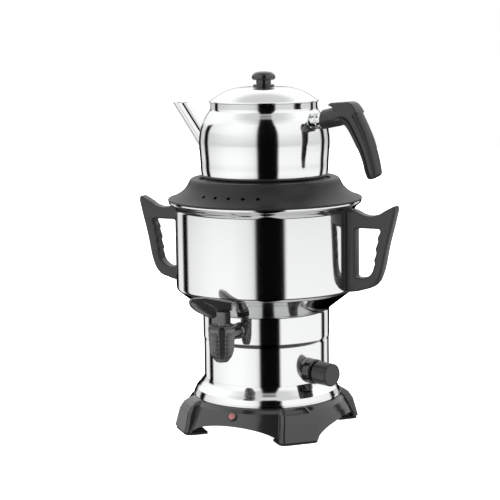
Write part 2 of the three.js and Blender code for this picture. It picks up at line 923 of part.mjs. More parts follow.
// The spout's axis, from inside the body to past its mouth
const spoutRoot = new THREE.Vector3(teapotRadius, 0, potBottom + spoutRootHeight);
const spoutMouth = new THREE.Vector3(spoutMouthReach, 0, potBottom + spoutMouthHeight);
const spoutAxis = spoutMouth.clone().sub(spoutRoot);
const spoutSlope = Math.atan2(spoutAxis.x, spoutAxis.z);

function strainerHoles() {
  const drill = bar(strainerHoleRadius, teapotRadius - cutOverrun, teapotRadius + cutOverrun, pinSides);
  const hole = alongX(drill);
  const places = [[0, 0], ...aroundZ(hexSides, (turn) => [Math.cos(turn), Math.sin(turn)])];
  return places.map(([across, up]) =>
    moved(hole, 0, across * strainerPitch, potBottom + spoutRootHeight + up * strainerPitch),
  );
}

function buildPot() {
  const holes = turnedAbout(joined(strainerHoles()), 0, 0, potTurn + Math.PI);
  return turned(shellProfile(potPath, potWall)).subtract(holes);
}

piece("teapot_body", buildPot(), steel, appliance);

const spoutShares = [
  [-0.22, 1.4],
  [-0.08, 1.15],
  [0.05, 0.85],
  [0.2, 0.4],
  [0.4, 0.1],
  [0.7, 0],
  [1.3, 0],
];

// The spout's outside, or its bore when the wall is taken off
function spoutSkin(wall) {
  const rings = spoutShares.map(([along, swell]) => {
    const radius = spoutMouthRadius + (spoutRootRadius - spoutMouthRadius) * swell - wall;
    return Array.from({ length: smallSides }, (_, i) => {
      const turn = (i * 2 * Math.PI) / smallSides;
      const point = new THREE.Vector3(radius * Math.cos(turn), radius * Math.sin(turn), 0);
      point.applyAxisAngle(new THREE.Vector3(0, 1, 0), spoutSlope);
      return point.addScaledVector(spoutAxis, along).add(spoutRoot);
    });
  });
  return lofted(rings);
}

function buildSpout() {
  const tube = spoutSkin(0).subtract(potSpace()).subtract(spoutSkin(spoutWall));
  return tube.trimByPlane([0, 0, -1], -spoutMouth.z);
}

piece("teapot_spout", buildSpout(), steel, spoutSide);

// Teapot handle: a steel bracket on the body and a plastic grip pushed onto its tang

const gripFrame = { x: gripStart, z: potBottom + gripBottom };
const gripShares = [
  [0, 0.611],
  [0.183, 0.645],
  [0.385, 0.685],
  [0.509, 0.543],
  [0.65, 0.309],
  [0.745, 0.04],
  [0.843, 0],
  [1, 0.08],
  [0.9125, 0.387],
  [0.808, 0.62],
  [0.685, 0.84],
  [0.598, 0.924],
  [0.52, 0.975],
  [0.4, 0.955],
  [0, 0.884],
];
const hornShares = [
  [0.2245, 0.917],
  [0.157, 0.944],
  [0.134, 0.971],
  [0.16, 0.983],
  [0.3, 0.992],
  [0.48, 1],
  [0.53, 0.985],
  [0.598, 0.924],
  [0.47, 0.88],
];

function gripPoint([out, up]) {
  const [width, height] = [gripReach - gripStart, gripTop - gripBottom];
  return new THREE.Vector2(gripFrame.x + width * out, gripFrame.z + height * up);
}

// The bracket's axis, tilted up from where it leaves the body
const bracketBack = teapotRadius - 3 * ringWall;
const gripMiddle = gripPoint([0, (gripShares[0][1] + gripShares[gripShares.length - 1][1]) / 2]);

function onBracketAxis(solid) {
  return moved(turnedAbout(solid, 0, Math.PI / 2 - potHandleTilt, 0), gripMiddle.x, 0, gripMiddle.y);
}

const ferruleLength = gripStart - bracketBack;
const tangLength = 3 * potTangRadius;

function buildBracket() {
  const profile = [
    [0, -ferruleLength],
    [potFlangeRadius, -ferruleLength],
    [potFlangeRadius, -ferruleLength + flangeShare * ferruleLength],
    [potFerruleRadius, -ferruleLength + (flangeShare + filletShare) * ferruleLength],
    [potFerruleRadius, -2 * seatGap],
    [potTangRadius, -2 * seatGap],
    [potTangRadius, tangLength],
    [0, tangLength],
  ];
  return onBracketAxis(turned(profile, 2 * pinSides)).subtract(potSpace());
}

piece("handle_bracket", buildBracket(), steel, potSide);

const setScrewPlace = tangLength / 2;

// Along the line of the set screw, up from below the neck
function onSetScrewAxis(solid) {
  return onBracketAxis(moved(turnedAbout(solid, 0, Math.PI / 2, 0), 0, 0, setScrewPlace));
}

function buildGrip() {
  const stem = standing(gripShares.map(gripPoint), [], gripThickness, gripBevel);
  const horn = standing(hornShares.map(gripPoint), [], gripThickness - gripBevel, 2 * seatGap);
  const bore = bar(potTangRadius + seatGap, -cutOverrun, tangLength + seatGap, 2 * pinSides);
  const seat = bar(potFerruleRadius + seatGap, -cutOverrun, -seatGap, 2 * pinSides);
  const screwHole = bar(setScrewRadius + seatGap, potTangRadius, gripThickness, pinSides);
  return stem.add(horn).subtract(onBracketAxis(bore.add(seat))).subtract(onSetScrewAxis(screwHole));
}

piece("teapot_grip", buildGrip(), blackPlastic, potSide);
const setScrewStart = potTangRadius + seatGap;
piece(
  "grip_set_screw",
  onSetScrewAxis(bar(setScrewRadius, setScrewStart, setScrewStart + setScrewLength, pinSides)),
  plainSteel,
  potSide,
);

// Teapot lid and its knob

const domeShares = [
  [0, 1],
  [0.25, 0.993],
  [0.46, 0.943],
  [0.62, 0.815],
  [0.76, 0.602],
  [0.88, 0.354],
  [0.96, 0.15],
];

function buildLid() {
  const reach = teapotNeckRadius + lidOverhang;
  const bead = 2 * potWall;
  const dome = domeShares.map(([out, up]) => [reach * out, lidBottom + bead + (lidRise - bead) * up]);
  const plugOuter = teapotNeckRadius - potWall - lidPlugGap;
  const inner = setBack(dome, -potWall).filter(([r]) => r < plugOuter - potWall);
  const profile = [
    ...inner,
    [plugOuter - potWall, lidBottom + bead],
    [plugOuter - potWall, lidBottom - lidPlugDepth],
    [plugOuter, lidBottom - lidPlugDepth],
    [plugOuter, lidBottom],
    [reach, lidBottom],
    [reach, lidBottom + bead],
    ...dome.reverse(),
  ];
  const hole = bar(screwHoleRadius, lidTop - cutOverrun, lidTop + cutOverrun, pinSides);
  return turned(profile).subtract(hole);
}

piece("teapot_lid", buildLid(), steel, appliance);

const knobShares = [
  [0.455, 0.623],
  [0.475, 0.91],
  [0.6, 1],
  [0.72, 0.985],
  [0.86, 0.83],
  [0.965, 0.5],
  [1, 0],
];

function buildLidKnob() {
  const footTop = knobBottom + knobFootHeight;
  const cap = knobShares.map(([up, out]) => [knobRadius * out, knobBottom + knobHeight * up]);
  const profile = [
    [0, knobBottom],
    [knobFootRadius, knobBottom],
    [knobFootRadius, footTop - knobFootEdge],
    [knobFootRadius - knobFootEdge, footTop],
    [knobNeckRadius, footTop],
    ...cap,
  ];
  const hole = bar(screwRadius + seatGap, knobBottom - cutOverrun, knobBottom + knobHoleDepth, pinSides);
  return turned(profile, 2 * pinSides).subtract(hole);
}

piece("lid_knob", buildLidKnob(), blackPlastic, appliance);
const lidScrewSeat = lidTop - potWall - seatGap;
piece("lid_knob_screw", moved(screw(knobHoleDepth), 0, 0, lidScrewSeat), plainSteel, appliance);

// Boiler handles

const handleShares = [
  [0, 0],
  [0.2, 0.014],
  [0.385, 0.043],
  [0.54, 0.076],
  [0.654, 0.149],
  [0.709, 0.223],
  [0.76, 0.33],
  [0.818, 0.437],
  [0.883, 0.583],
  [0.952, 0.757],
  [1, 0.94],
  [0.975, 1],
  [0.93, 0.99],
  [0.667, 0.903],
  [0.58, 0.885],
  [0.49, 0.877],
  [0.35, 0.888],
  [0.157, 0.936],
  [0, 0.942],
];
const openingShares = [
  [0.0, 0.025],
  [0.0, 0.95],
  [0.05, 1],
  [0.88, 1],
  [0.98, 0.96],
  [1, 0.9],
  [0.91, 0.74],
  [0.835, 0.57],
  [0.78, 0.43],
  [0.735, 0.31],
  [0.695, 0.15],
  [0.6, 0.08],
  [0.33, 0.0],
  [0.05, 0.0],
];

function handleOutline() {
  const inner = drumRadius - steelWall;
  return handleShares.map(([out, up]) => {
    const height = handleBottom + (handleTop - handleBottom) * up;
    return new THREE.Vector2(inner + (handleReach - inner) * out, height);
  });
}

// The finger opening, between the spine on the drum and the bowed grip
function openingOutline() {
  const start = drumRadius + seatGap + handleSpine;
  const low = handleBottom + openingLowShare * (handleTop - handleBottom);
  const high = handleBottom + openingHighShare * (handleTop - handleBottom);
  return openingShares.map(([out, up]) => {
    return new THREE.Vector2(start + openingWidth * out, low + (high - low) * up);
  });
}

// The space that the tank takes up, with a clearance round it
function tankSpace() {
  const grown = setBack(tankPath(), -seatGap);
  return turned([...grown, [0, tankTop + seatGap]]);
}

function buildHandle() {
  const solid = standing(handleOutline(), [openingOutline()], handleThickness, handleBevel);
  const boreEnd = drumRadius + handleScrewDepth + seatGap;
  const bore = alongX(bar(screwHoleRadius, drumRadius - cutOverrun, boreEnd, pinSides));
  const bores = handleBoltHeights.map((height) => moved(bore, 0, 0, height));
  return solid.subtract(tankSpace()).subtract(joined(bores));
}

const handle = buildHandle();
const handleScrewSeat = drumRadius - steelWall - 2 * seatGap;
const handleScrew = alongX(screw(handleScrewDepth + steelWall));
["right", "left"].forEach((side, i) => {
  piece(`${side}_handle`, handle, blackPlastic, handleSides[i]);
  handleBoltHeights.forEach((height, row) => {
    const fitted = moved(handleScrew, handleScrewSeat, 0, height);
    piece(`${side}_handle_screw_${row + 1}`, fitted, plainSteel, handleSides[i]);
  });
});

// Tap: a body with a ported plug that the lever turns

const barrelShares = [
  [0, 0],
  [0.04, 0.04],
  [0.2, 0.57],
  [0.31, 0.77],
  [0.57, 0.88],
  [0.92, 0.97],
  [1, 1],
];
const barrelBottom = barrelTop - barrelHeight;
const neckInside = neckRadius - steelWall;
const neckSeat = Math.sqrt(neckInside ** 2 - tapNutRadius ** 2) - seatGap;
const tapSealStart = neckRadius - tapSealThickness / 2;
const tapFlangeStart = neckRadius + tapSealThickness + seatGap;
const tapTailEnd = neckInside - tapTailLength;

function buildTapBody() {
  const swell = barrelTopRadius - barrelBottomRadius;
  const outer = barrelShares.map(([up, out]) => [
    barrelBottomRadius + swell * out,
    barrelBottom + barrelHeight * up,
  ]);
  const barrel = turned([[0, barrelBottom], ...outer, [0, barrelTop]], 2 * pinSides);
  const stem = [
    [0, tapTailEnd],
    [stemRadius, tapTailEnd],
    [stemRadius, tapFlangeStart],
    [tapFlangeRadius, tapFlangeStart],
    [tapFlangeRadius, tapFlangeStart + tapFlangeThickness],
    [stemRadius, tapFlangeStart + 2 * tapFlangeThickness],
    [stemRadius, tapReach],
    [0, tapReach],
  ];
  const chamberFloor = barrelTop - chamberDepth;
  const bore = alongX(bar(tapBore, tapTailEnd - cutOverrun, tapReach));
  const outlet = bar(tapBore, barrelBottom - cutOverrun, barrelTop);
  const chamber = bar(chamberRadius, chamberFloor, barrelTop + cutOverrun);
  const body = moved(barrel, tapReach, 0, 0).add(moved(alongX(turned(stem, smallSides)), 0, 0, tapHeight));
  return body
    .subtract(moved(bore, 0, 0, tapHeight))
    .subtract(moved(outlet.add(chamber), tapReach, 0, 0));
}

piece("tap_body", buildTapBody(), blackPlastic, tapSide);

const tapSpot = (solid) => moved(alongX(solid), 0, 0, tapHeight);

// The outer seal is shaped to the neck, the inner one stays flat
const sealRing = sleeve(stemRadius + seatGap, tapSealRadius, tapSealStart, neckRadius + tapSealThickness);
const outerSeal = tapSpot(sealRing).subtract(turnedAbout(tankSpace(), 0, 0, -frontAngle));
piece("tap_outer_seal", outerSeal, rubber, tapSide);
const innerSealEnd = neckSeat;
piece(
  "tap_inner_seal",
  tapSpot(sleeve(stemRadius + seatGap, tapSealRadius, innerSealEnd - tapSealThickness, innerSealEnd)),
  silicone,
  tapSide,
);
const tapNutEnd = innerSealEnd - tapSealThickness - seatGap;
piece(
  "tap_nut",
  tapSpot(sleeve(stemRadius + seatGap, tapNutRadius, tapNutEnd - tapNutThickness, tapNutEnd, hexSides * 2)),
  plainSteel,
  tapSide,
);

const tapCapBottom = barrelTop + seatGap;
const tapCapTop = tapCapBottom + tapCapHeight;
const tapCapRadius = barrelTopRadius - tapCapEdge;
const tapCap = [
  [plugNeckRadius + seatGap, tapCapBottom],
  [tapCapRadius, tapCapBottom],
  [tapCapRadius, tapCapTop - tapCapEdge],
  [tapCapRadius - tapCapEdge, tapCapTop],
  [plugNeckRadius + seatGap, tapCapTop],
];
piece("tap_cap", moved(turnedRing(tapCap, smallSides), tapReach, 0, 0), blackPlastic, tapSide);

const plugSealBottom = barrelTop - plugSealHeight;
const plugSeal = sleeve(plugNeckRadius + seatGap, chamberRadius - seatGap, plugSealBottom, barrelTop);
piece("plug_seal", moved(plugSeal, tapReach, 0, 0), silicone, tapSide);

// The plug and the lever share a frame whose X runs along the lever at rest.
const leverGroup = new THREE.Group();
leverGroup.position.x = tapReach;
leverGroup.rotation.z = leverRest;
tapSide.add(leverGroup);
const leverBottom = tapCapTop + seatGap;
const neckEnd = leverBottom + plugNeckLength;

// A plug whose port leads in from one side and out below
function buildPlug() {
  const bottom = barrelTop - chamberDepth + seatGap;
  const top = plugSealBottom - seatGap;
  const radius = chamberRadius - seatGap;
  const profile = [
    [0, bottom],
    [radius, bottom],
    [radius, top],
    [plugNeckRadius, top],
    [plugNeckRadius, neckEnd],
    [0, neckEnd],
  ];
  const inlet = moved(alongX(bar(plugPortRadius, 0, chamberRadius + cutOverrun)), 0, 0, tapHeight);
  const outlet = bar(plugPortRadius, bottom - cutOverrun, tapHeight);
  return turned(profile, smallSides).subtract(turnedAbout(inlet, 0, 0, plugPortAngle).add(outlet));
}

piece("tap_plug", buildPlug(), plainSteel, leverGroup);

// Tap lever: an upright wing with a thumb recess, on a root that fits over the plug's neck

const wingShares = [
  [0, 0.824],
  [0, 0.51],
  [0.204, 0.446],
  [0.28, 0.333],
  [0.441, 0.247],
  [0.718, 0.401],
  [0.929, 0.622],
  [0.994, 0.75],
  [1, 0.862],
  [0.971, 0.949],
  [0.867, 0.997],
  [0.592, 1],
];
const rootShares = [
  [1, -0.5],
  [1, 0.09],
  [0.33, 0.5],
  [0, 0.5],
  [0, -0.5],
];
const recessShares = [
  [0, -1],
  [0.6, -0.75],
  [0.9, -0.35],
  [1, 0],
  [1, 1],
  [0, 1],
];

function buildWing() {
  const outline = wingShares.map(
    ([along, up]) =>
      new THREE.Vector2((leverFront + leverBack) * along - leverBack, leverBottom + leverHeight * up),
  );
  return standing(outline, [], wingThickness, wingBevel);
}

function buildRoot() {
  const ring = (height) =>
    rootShares.map(([along, across]) => {
      const x = (leverRootFront + leverRootBack) * along - leverRootBack;
      return new THREE.Vector3(x, leverRootWidth * across, height);
    });
  return lofted([ring(leverBottom), ring(leverBottom + leverRootHeight)]);
}

// The shallow oval for a thumb in the wing's front
function buildRecess() {
  const dish = turned(recessShares, smallSides).scale([recessLength / 2, recessWidth / 2, recessDepth]);
  const upright = turnedAbout(turnedAbout(dish, -Math.PI / 2, 0, 0), 0, -recessTilt, 0);
  return moved(upright, recessPlace, wingThickness / 2, leverBottom + recessHeight);
}

function buildLever() {
  const bore = bar(plugNeckRadius + seatGap, leverBottom - cutOverrun, neckEnd + seatGap);
  return buildWing().add(buildRoot()).subtract(buildRecess()).subtract(bore);
}

piece("tap_lever", buildLever(), blackPlastic, leverGroup);

// The appliance is set so that the middle of its bounding box's bottom is the origin.
const part = new THREE.Group();
part.add(appliance);
const reach = new THREE.Box3().setFromObject(part, true);
const middle = reach.getCenter(new THREE.Vector3());
appliance.position.set(-middle.x, -middle.y, -reach.min.z);

export default part;
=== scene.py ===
import json
from math import cos, hypot, pi, radians, sin, sqrt, tan

import bmesh
import bpy
from mathutils import Matrix, Vector
from mathutils.geometry import interpolate_bezier


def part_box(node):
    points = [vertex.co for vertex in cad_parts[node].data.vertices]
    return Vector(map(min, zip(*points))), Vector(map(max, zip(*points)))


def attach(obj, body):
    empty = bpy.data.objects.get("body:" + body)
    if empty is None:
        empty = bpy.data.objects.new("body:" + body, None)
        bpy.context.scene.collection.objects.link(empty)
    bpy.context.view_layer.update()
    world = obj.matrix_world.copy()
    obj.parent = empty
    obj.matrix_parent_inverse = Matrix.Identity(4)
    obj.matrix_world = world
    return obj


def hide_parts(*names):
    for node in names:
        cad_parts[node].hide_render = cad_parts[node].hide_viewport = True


# An electric samovar: polished steel vessels with black mouldings, on a white studio floor.
# Pieces are drawn in millimetres round the vessels' own axis, then set into the frame in metres.

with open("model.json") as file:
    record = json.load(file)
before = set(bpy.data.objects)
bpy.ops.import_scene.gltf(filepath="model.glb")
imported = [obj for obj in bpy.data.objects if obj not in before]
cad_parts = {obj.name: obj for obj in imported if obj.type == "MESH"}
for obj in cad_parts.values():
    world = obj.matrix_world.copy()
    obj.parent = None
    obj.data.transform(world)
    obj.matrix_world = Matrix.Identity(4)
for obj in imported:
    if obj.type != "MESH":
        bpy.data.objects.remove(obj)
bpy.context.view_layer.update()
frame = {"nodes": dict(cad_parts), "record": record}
scene = bpy.context.scene

tankLow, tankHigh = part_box("boiler_tank")
millimetre = 0.001
vesselAxis = Matrix.Translation((0, (tankLow.y + tankHigh.y) / 2, 0)) @ Matrix.Scale(millimetre, 4)
wholeTurn = 2 * pi
quarterTurn = pi / 2
frontAngle = -quarterTurn
# sides of turned pieces: vessels, knobs and small fittings
roundSides, knobSides, smallSides = 192, 96, 64
print("frame loaded:", len(frame["nodes"]), "nodes")


# Shader writing

class Wire:
    # an output of a shader tree that can be used in sums

    def __init__(self, graph, socket):
        self.graph = graph
        self.socket = socket

    def maths(self, operation, *values):
        return self.graph.add("Math", {"operation": operation}, dict(enumerate(values)))

    def __add__(self, other):
        return self.maths("ADD", self, other)

    def __sub__(self, other):
        return self.maths("SUBTRACT", self, other)

    def __rsub__(self, other):
        return self.maths("SUBTRACT", other, self)

    def __mul__(self, other):
        return self.maths("MULTIPLY", self, other)

    def __truediv__(self, other):
        return self.maths("DIVIDE", self, other)

    __radd__ = __add__
    __rmul__ = __mul__


class Graph:
    # a shader tree that is written one node at a time

    def __init__(self, owner):
        owner.use_nodes = True
        self.tree = owner.node_tree
        self.tree.nodes.clear()

    def add(self, kind, settings=None, sockets=None, output=0):
        node = self.tree.nodes.new("ShaderNode" + kind)
        for name, value in (settings or {}).items():
            if name == "stops":
                self.setStops(node.color_ramp, value)
            else:
                setattr(node, name, value)
        for name, value in (sockets or {}).items():
            if isinstance(value, Wire):
                self.tree.links.new(value.socket, node.inputs[name])
            else:
                node.inputs[name].default_value = value
        return Wire(self, node.outputs[output]) if node.outputs else node

    def setStops(self, ramp, stops):
        while len(ramp.elements) < len(stops):
            ramp.elements.new(1)
        for element, (place, shade) in zip(ramp.elements, sorted(stops)):
            element.position = place
            element.color = (shade, shade, shade, 1)


def grey(shade):
    return (shade, shade, shade, 1)


def makeFinish(name, look):
    # a surface with a slightly uneven gloss and a fine grain
    patchDetail, grainDetail, grainDepth = 3.0, 2.0, 0.0002
    material = bpy.data.materials.new(name)
    graph = Graph(material)
    place = graph.add("TexCoord", output="Object")
    patches = graph.add("TexNoise", {}, {"Vector": place, "Scale": look["patchScale"], "Detail": patchDetail})
    grain = graph.add("TexNoise", {}, {"Vector": place, "Scale": look["grainScale"], "Detail": grainDetail})
    bump = graph.add("Bump", {}, {"Height": grain, "Strength": look["grain"], "Distance": grainDepth})
    shader = graph.add("BsdfPrincipled", {}, {
        "Base Color": look["color"],
        "Metallic": look["metallic"],
        "Roughness": patches * look["uneven"] + (look["roughness"] - look["uneven"] / 2),
        "Normal": bump,
        **look.get("extra", {}),
    })
    graph.add("OutputMaterial", {}, {"Surface": shader})
    return material


finishes = {
    "polishedSteel": {
        "color": (0.86, 0.865, 0.87, 1), "metallic": 1.0, "roughness": 0.09, "uneven": 0.03,
        "patchScale": 14.0, "grainScale": 900.0, "grain": 0.01,
    },
    "plainSteel": {
        "color": (0.6, 0.61, 0.62, 1), "metallic": 1.0, "roughness": 0.34, "uneven": 0.1,
        "patchScale": 60.0, "grainScale": 2500.0, "grain": 0.15,
    },
    "satinPlastic": {
        "color": (0.018, 0.018, 0.019, 1), "metallic": 0.0, "roughness": 0.32, "uneven": 0.08,
        "patchScale": 40.0, "grainScale": 3200.0, "grain": 0.12,
        "extra": {"IOR": 1.8, "Specular IOR Level": 0.3},
    },
    "basePlastic": {
        "color": (0.018, 0.018, 0.019, 1), "metallic": 0.0, "roughness": 0.13, "uneven": 0.04,
        "patchScale": 30.0, "grainScale": 3200.0, "grain": 0.06,
        "extra": {"IOR": 1.8, "Specular IOR Level": 0.44},
    },
    "tapPlastic": {
        "color": (0.02, 0.02, 0.021, 1), "metallic": 0.0, "roughness": 0.18, "uneven": 0.08,
        "patchScale": 60.0, "grainScale": 3200.0, "grain": 0.08,
        "extra": {"IOR": 1.8, "Specular IOR Level": 0.8},
    },
    "ringPlastic": {
        "color": (0.014, 0.014, 0.015, 1), "metallic": 0.0, "roughness": 0.42, "uneven": 0.06,
        "patchScale": 30.0, "grainScale": 2200.0, "grain": 0.08,
        "extra": {"IOR": 1.8, "Specular IOR Level": 0.2},
    },
    "glossPlastic": {
        "color": (0.012, 0.012, 0.013, 1), "metallic": 0.0, "roughness": 0.14, "uneven": 0.05,
        "patchScale": 30.0, "grainScale": 2200.0, "grain": 0.05,
        "extra": {"IOR": 1.8, "Specular IOR Level": 0.5},
    },
    "footRubber": {
        "color": (0.012, 0.012, 0.012, 1), "metallic": 0.0, "roughness": 0.85, "uneven": 0.1,
        "patchScale": 50.0, "grainScale": 2500.0, "grain": 0.4,
    },
    "silicone": {
        "color": (0.68, 0.65, 0.6, 1), "metallic": 0.0, "roughness": 0.6, "uneven": 0.1,
        "patchScale": 50.0, "grainScale": 2500.0, "grain": 0.1,
    },
    "castAluminium": {
        "color": (0.6, 0.6, 0.61, 1), "metallic": 1.0, "roughness": 0.5, "uneven": 0.12,
        "patchScale": 60.0, "grainScale": 2000.0, "grain": 0.4,
    },
    "ceramic": {
        "color": (0.72, 0.7, 0.64, 1), "metallic": 0.0, "roughness": 0.65, "uneven": 0.1,
        "patchScale": 40.0, "grainScale": 1800.0, "grain": 0.15,
    },
    "pilotRed": {
        "color": (0.38, 0.15, 0.17, 1), "metallic": 0.0, "roughness": 0.25, "uneven": 0.05,
        "patchScale": 90.0, "grainScale": 2500.0, "grain": 0.05,
    },
}
materials = {name: makeFinish(name, look) for name, look in finishes.items()}
print("finishes made:", len(materials))


# Drawing

def curveThrough(points, step, entry=None, leave=None):
    # a smooth curve through 2D points, with given directions at its ends where asked
    knots = [Vector(point) for point in points]
    chords = [after - before for before, after in zip(knots, knots[1:])]
    sizes = [chord.length for chord in chords]
    rates = [chord / size for chord, size in zip(chords, sizes)]
    slopes = [None] * len(knots)
    for i in range(1, len(knots) - 1):
        slopes[i] = (rates[i - 1] * sizes[i] + rates[i] * sizes[i - 1]) / (sizes[i - 1] + sizes[i])
    slopes[0] = entry or (rates[0] * 1.5 - slopes[1] * 0.5 if len(knots) > 2 else rates[0])
    slopes[-1] = leave or (rates[-1] * 1.5 - slopes[-2] * 0.5 if len(knots) > 2 else rates[-1])
    drawn = [knots[0]]
    for i, size in enumerate(sizes):
        count = max(2, round(size / step) + 1)
        first, last = knots[i], knots[i + 1]
        drawn += interpolate_bezier(
            first, first + slopes[i] * size / 3, last - slopes[i + 1] * size / 3, last, count
        )[1:]
    return drawn


def fillet(before, corner, after, radius, step):
    # an arc in place of a corner
    entry, leave = (corner - before).normalized(), (after - corner).normalized()
    bend = entry.angle(leave)
    setBack = radius * tan(bend / 2)
    arm = radius * 4 / 3 * tan(bend / 4)
    first, last = corner - entry * setBack, corner + leave * setBack
    count = max(4, round(radius * bend / step) + 1)
    return interpolate_bezier(first, first + entry * arm, last - leave * arm, last, count)


def lined(straight, chord):
    # the straight's direction, if the curve's first or last chord nearly lines up with it
    nearlyInLine = radians(28)
    if straight.length and straight.angle(chord) < nearlyInLine:
        return straight.normalized()
    return None


def endOf(item, which):
    # the first (0) or last (-1) point of an item in a profile
    return Vector(item[which] if isinstance(item, list) else item[:2])


def traced(profile, step=1.5, closed=False):
    # Draws a profile whose items are (x, y) corners, (x, y, radius) rounded corners, and lists of points
    # for a smooth curve from the item before. A curve follows on from a straight that nearly lines up.
    count = len(profile)
    drawn = []
    for i, item in enumerate(profile):
        before = profile[i - 1] if i or closed else None
        after = profile[(i + 1) % count] if i + 1 < count or closed else None
        if isinstance(item, list):
            points = [endOf(before, -1), *map(Vector, item)]
            entry = leave = None
            if i > 1 and not isinstance(before, list) and not isinstance(profile[i - 2], list):
                entry = lined(endOf(before, -1) - endOf(profile[i - 2], -1), points[1] - points[0])
            if after and not isinstance(after, list):
                leave = lined(endOf(after, 0) - points[-1], points[-1] - points[-2])
            drawn += curveThrough(points, step, entry, leave)[1:]
        elif len(item) == 3:
            drawn += fillet(endOf(before, -1), Vector(item[:2]), endOf(after, 0), item[2], step)
        else:
            drawn.append(Vector(item))
    return drawn


def offsetPath(path, distance):
    # the same path moved to its left, with mitred corners; ends on the axis stay on it
    points = [Vector(point) for point in path]
    normals = []
    for before, after in zip(points, points[1:]):
        along = (after - before).normalized()
        normals.append(Vector((-along.y, along.x)))
    shifted = []
    for i, point in enumerate(points):
        before, after = normals[max(i - 1, 0)], normals[min(i, len(normals) - 1)]
        mitre = point + (before + after) * distance / (1 + before.dot(after))
        shifted.append(Vector((0, mitre.y)) if point.x == 0 else mitre)
    return shifted


def gridMesh(name, rings, closedAlong=False):
    # a skin over rings of points; a ring of one point is a pole
    points, starts = [], []
    for loop in rings:
        starts.append(len(points))
        points += loop
    faces = []
    pairs = list(zip(range(len(rings)), range(1, len(rings))))
    if closedAlong:
        pairs.append((len(rings) - 1, 0))
    for low, high in pairs:
        sides = max(len(rings[low]), len(rings[high]))
        for side in range(sides):
            far = (side + 1) % sides
            places = [(low, side), (low, far), (high, far), (high, side)]
            corners = [starts[row] + place % len(rings[row]) for row, place in places]
            faces.append(list(dict.fromkeys(corners)))
    mesh = bpy.data.meshes.new(name)
    mesh.from_pydata(points, [], faces)
    return mesh


def centreOf(loop):
    return sum(loop, Vector()) / len(loop)


def cappedMesh(name, rings):
    # a skin over rings that is closed at both ends
    return gridMesh(name, [[centreOf(rings[0])], *rings, [centreOf(rings[-1])]])


def supported(profile, closed):
    # adds points close to both ends of long straight runs, which keeps their shading flat
    longRun, margin = 3, 0.4
    points = [Vector(point) for point in profile]
    drawn = []
    for before, after in zip(points, points[1:] + points[:1]):
        drawn.append(before)
        run = after - before
        if run.length > longRun and (closed or after is not points[0]):
            drawn += [before + run * (margin / run.length), after - run * (margin / run.length)]
    return drawn


def turnedMesh(name, profile, sides=roundSides, closed=False, inset=None):
    # a profile of radius and height turned about Z, less an inset that may change all round
    tiny = 1e-6
    turns = [wholeTurn * side / sides for side in range(sides)]
    rings = []
    for radius, height in supported(profile, closed):
        if abs(radius) < tiny:
            rings.append([Vector((0, 0, height))])
            continue
        sizes = [radius - (inset(turn, radius, height) if inset else 0) for turn in turns]
        loop = [Vector((size * cos(turn), size * sin(turn), height)) for size, turn in zip(sizes, turns)]
        rings.append(loop)
    return gridMesh(name, rings, closedAlong=closed)


def plainBar(radius, low, high, sides=smallSides):
    # a round bar that cuts other pieces
    return turnedMesh("bar", [(0, low), (radius, low), (radius, high), (0, high)], sides)


def shellMesh(name, outer, wall):
    # a turned sheet of even thickness, open at the top
    flat = [tuple(point[:2]) for item in outer for point in (item if isinstance(item, list) else [item])]
    places = iter(offsetPath(flat, wall))
    inner = []
    for item in outer:
        if isinstance(item, list):
            inner.append([tuple(next(places)) for _ in item])
        elif len(item) == 3:
            inner.append((*next(places), max(item[2] - wall, wall / 2)))
        else:
            inner.append(tuple(next(places)))
    return turnedMesh(name, traced(outer) + traced(inner)[::-1])


def movedMesh(mesh, place):
    mesh.transform(place)
    return mesh


def shift(x, y, z):
    return Matrix.Translation((x, y, z))


def tilt(angle, axis):
    return Matrix.Rotation(angle, 4, axis)


def linked(name, data):
    obj = bpy.data.objects.new(name, data)
    scene.collection.objects.link(obj)
    return obj


def finalMesh(obj):
    # an object's mesh with its modifiers applied
    return bpy.data.meshes.new_from_object(obj.evaluated_get(bpy.context.evaluated_depsgraph_get()))


def cleaned(mesh, mergeDistance=0.001):
    # merges doubled corners, where a distance is given, and turns the faces outwards
    work = bmesh.new()
    work.from_mesh(mesh)
    if mergeDistance:
        bmesh.ops.remove_doubles(work, verts=work.verts, dist=mergeDistance)
    bmesh.ops.recalc_face_normals(work, faces=work.faces)
    work.to_mesh(mesh)
    work.free()
    return mesh


def slabMesh(name, outline, holes, thickness, edge, edgeSteps=4):
    # a flat outline of X and Z with rounded edges, standing centred on Y
    curve = bpy.data.curves.new(name, "CURVE")
    curve.dimensions = "2D"
    curve.fill_mode = "BOTH"
    curve.extrude = thickness / 2 - edge
    curve.bevel_depth = edge
    curve.bevel_resolution = edgeSteps
    curve.offset = -edge
    for path in [outline, *holes]:
        spline = curve.splines.new("POLY")
        spline.points.add(len(path) - 1)
        for point, (x, z) in zip(spline.points, path):
            point.co = (x, z, 0, 1)
        spline.use_cyclic_u = True
    holder = linked(name, curve)
    mesh = finalMesh(holder)
    bpy.data.objects.remove(holder)
    return cleaned(movedMesh(mesh, tilt(quarterTurn, "X")))


def combined(mesh, others, operation="UNION"):
    # joins meshes into one closed skin, or cuts them away
    holders = [linked("shape", cleaned(shape)) for shape in [mesh, *others]]
    for holder in holders[1:]:
        step = holders[0].modifiers.new("step", "BOOLEAN")
        step.operation = operation
        step.solver = "MANIFOLD"
        step.object = holder
    result = finalMesh(holders[0])
    for holder in holders:
        bpy.data.objects.remove(holder)
    return result


def finishPiece(name, mesh, place, look, body, nodes, crisp=32):
    # sets a drawn mesh into the frame as a piece of the appliance
    finish, slot = look
    mesh.transform(vesselAxis @ place)
    cleaned(mesh, mergeDistance=None)
    mesh.materials.clear()
    mesh.materials.append(materials[finish])
    mesh.shade_smooth()
    mesh.set_sharp_from_angle(angle=radians(crisp))
    obj = linked(name, mesh)
    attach(obj, body)
    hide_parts(*nodes)


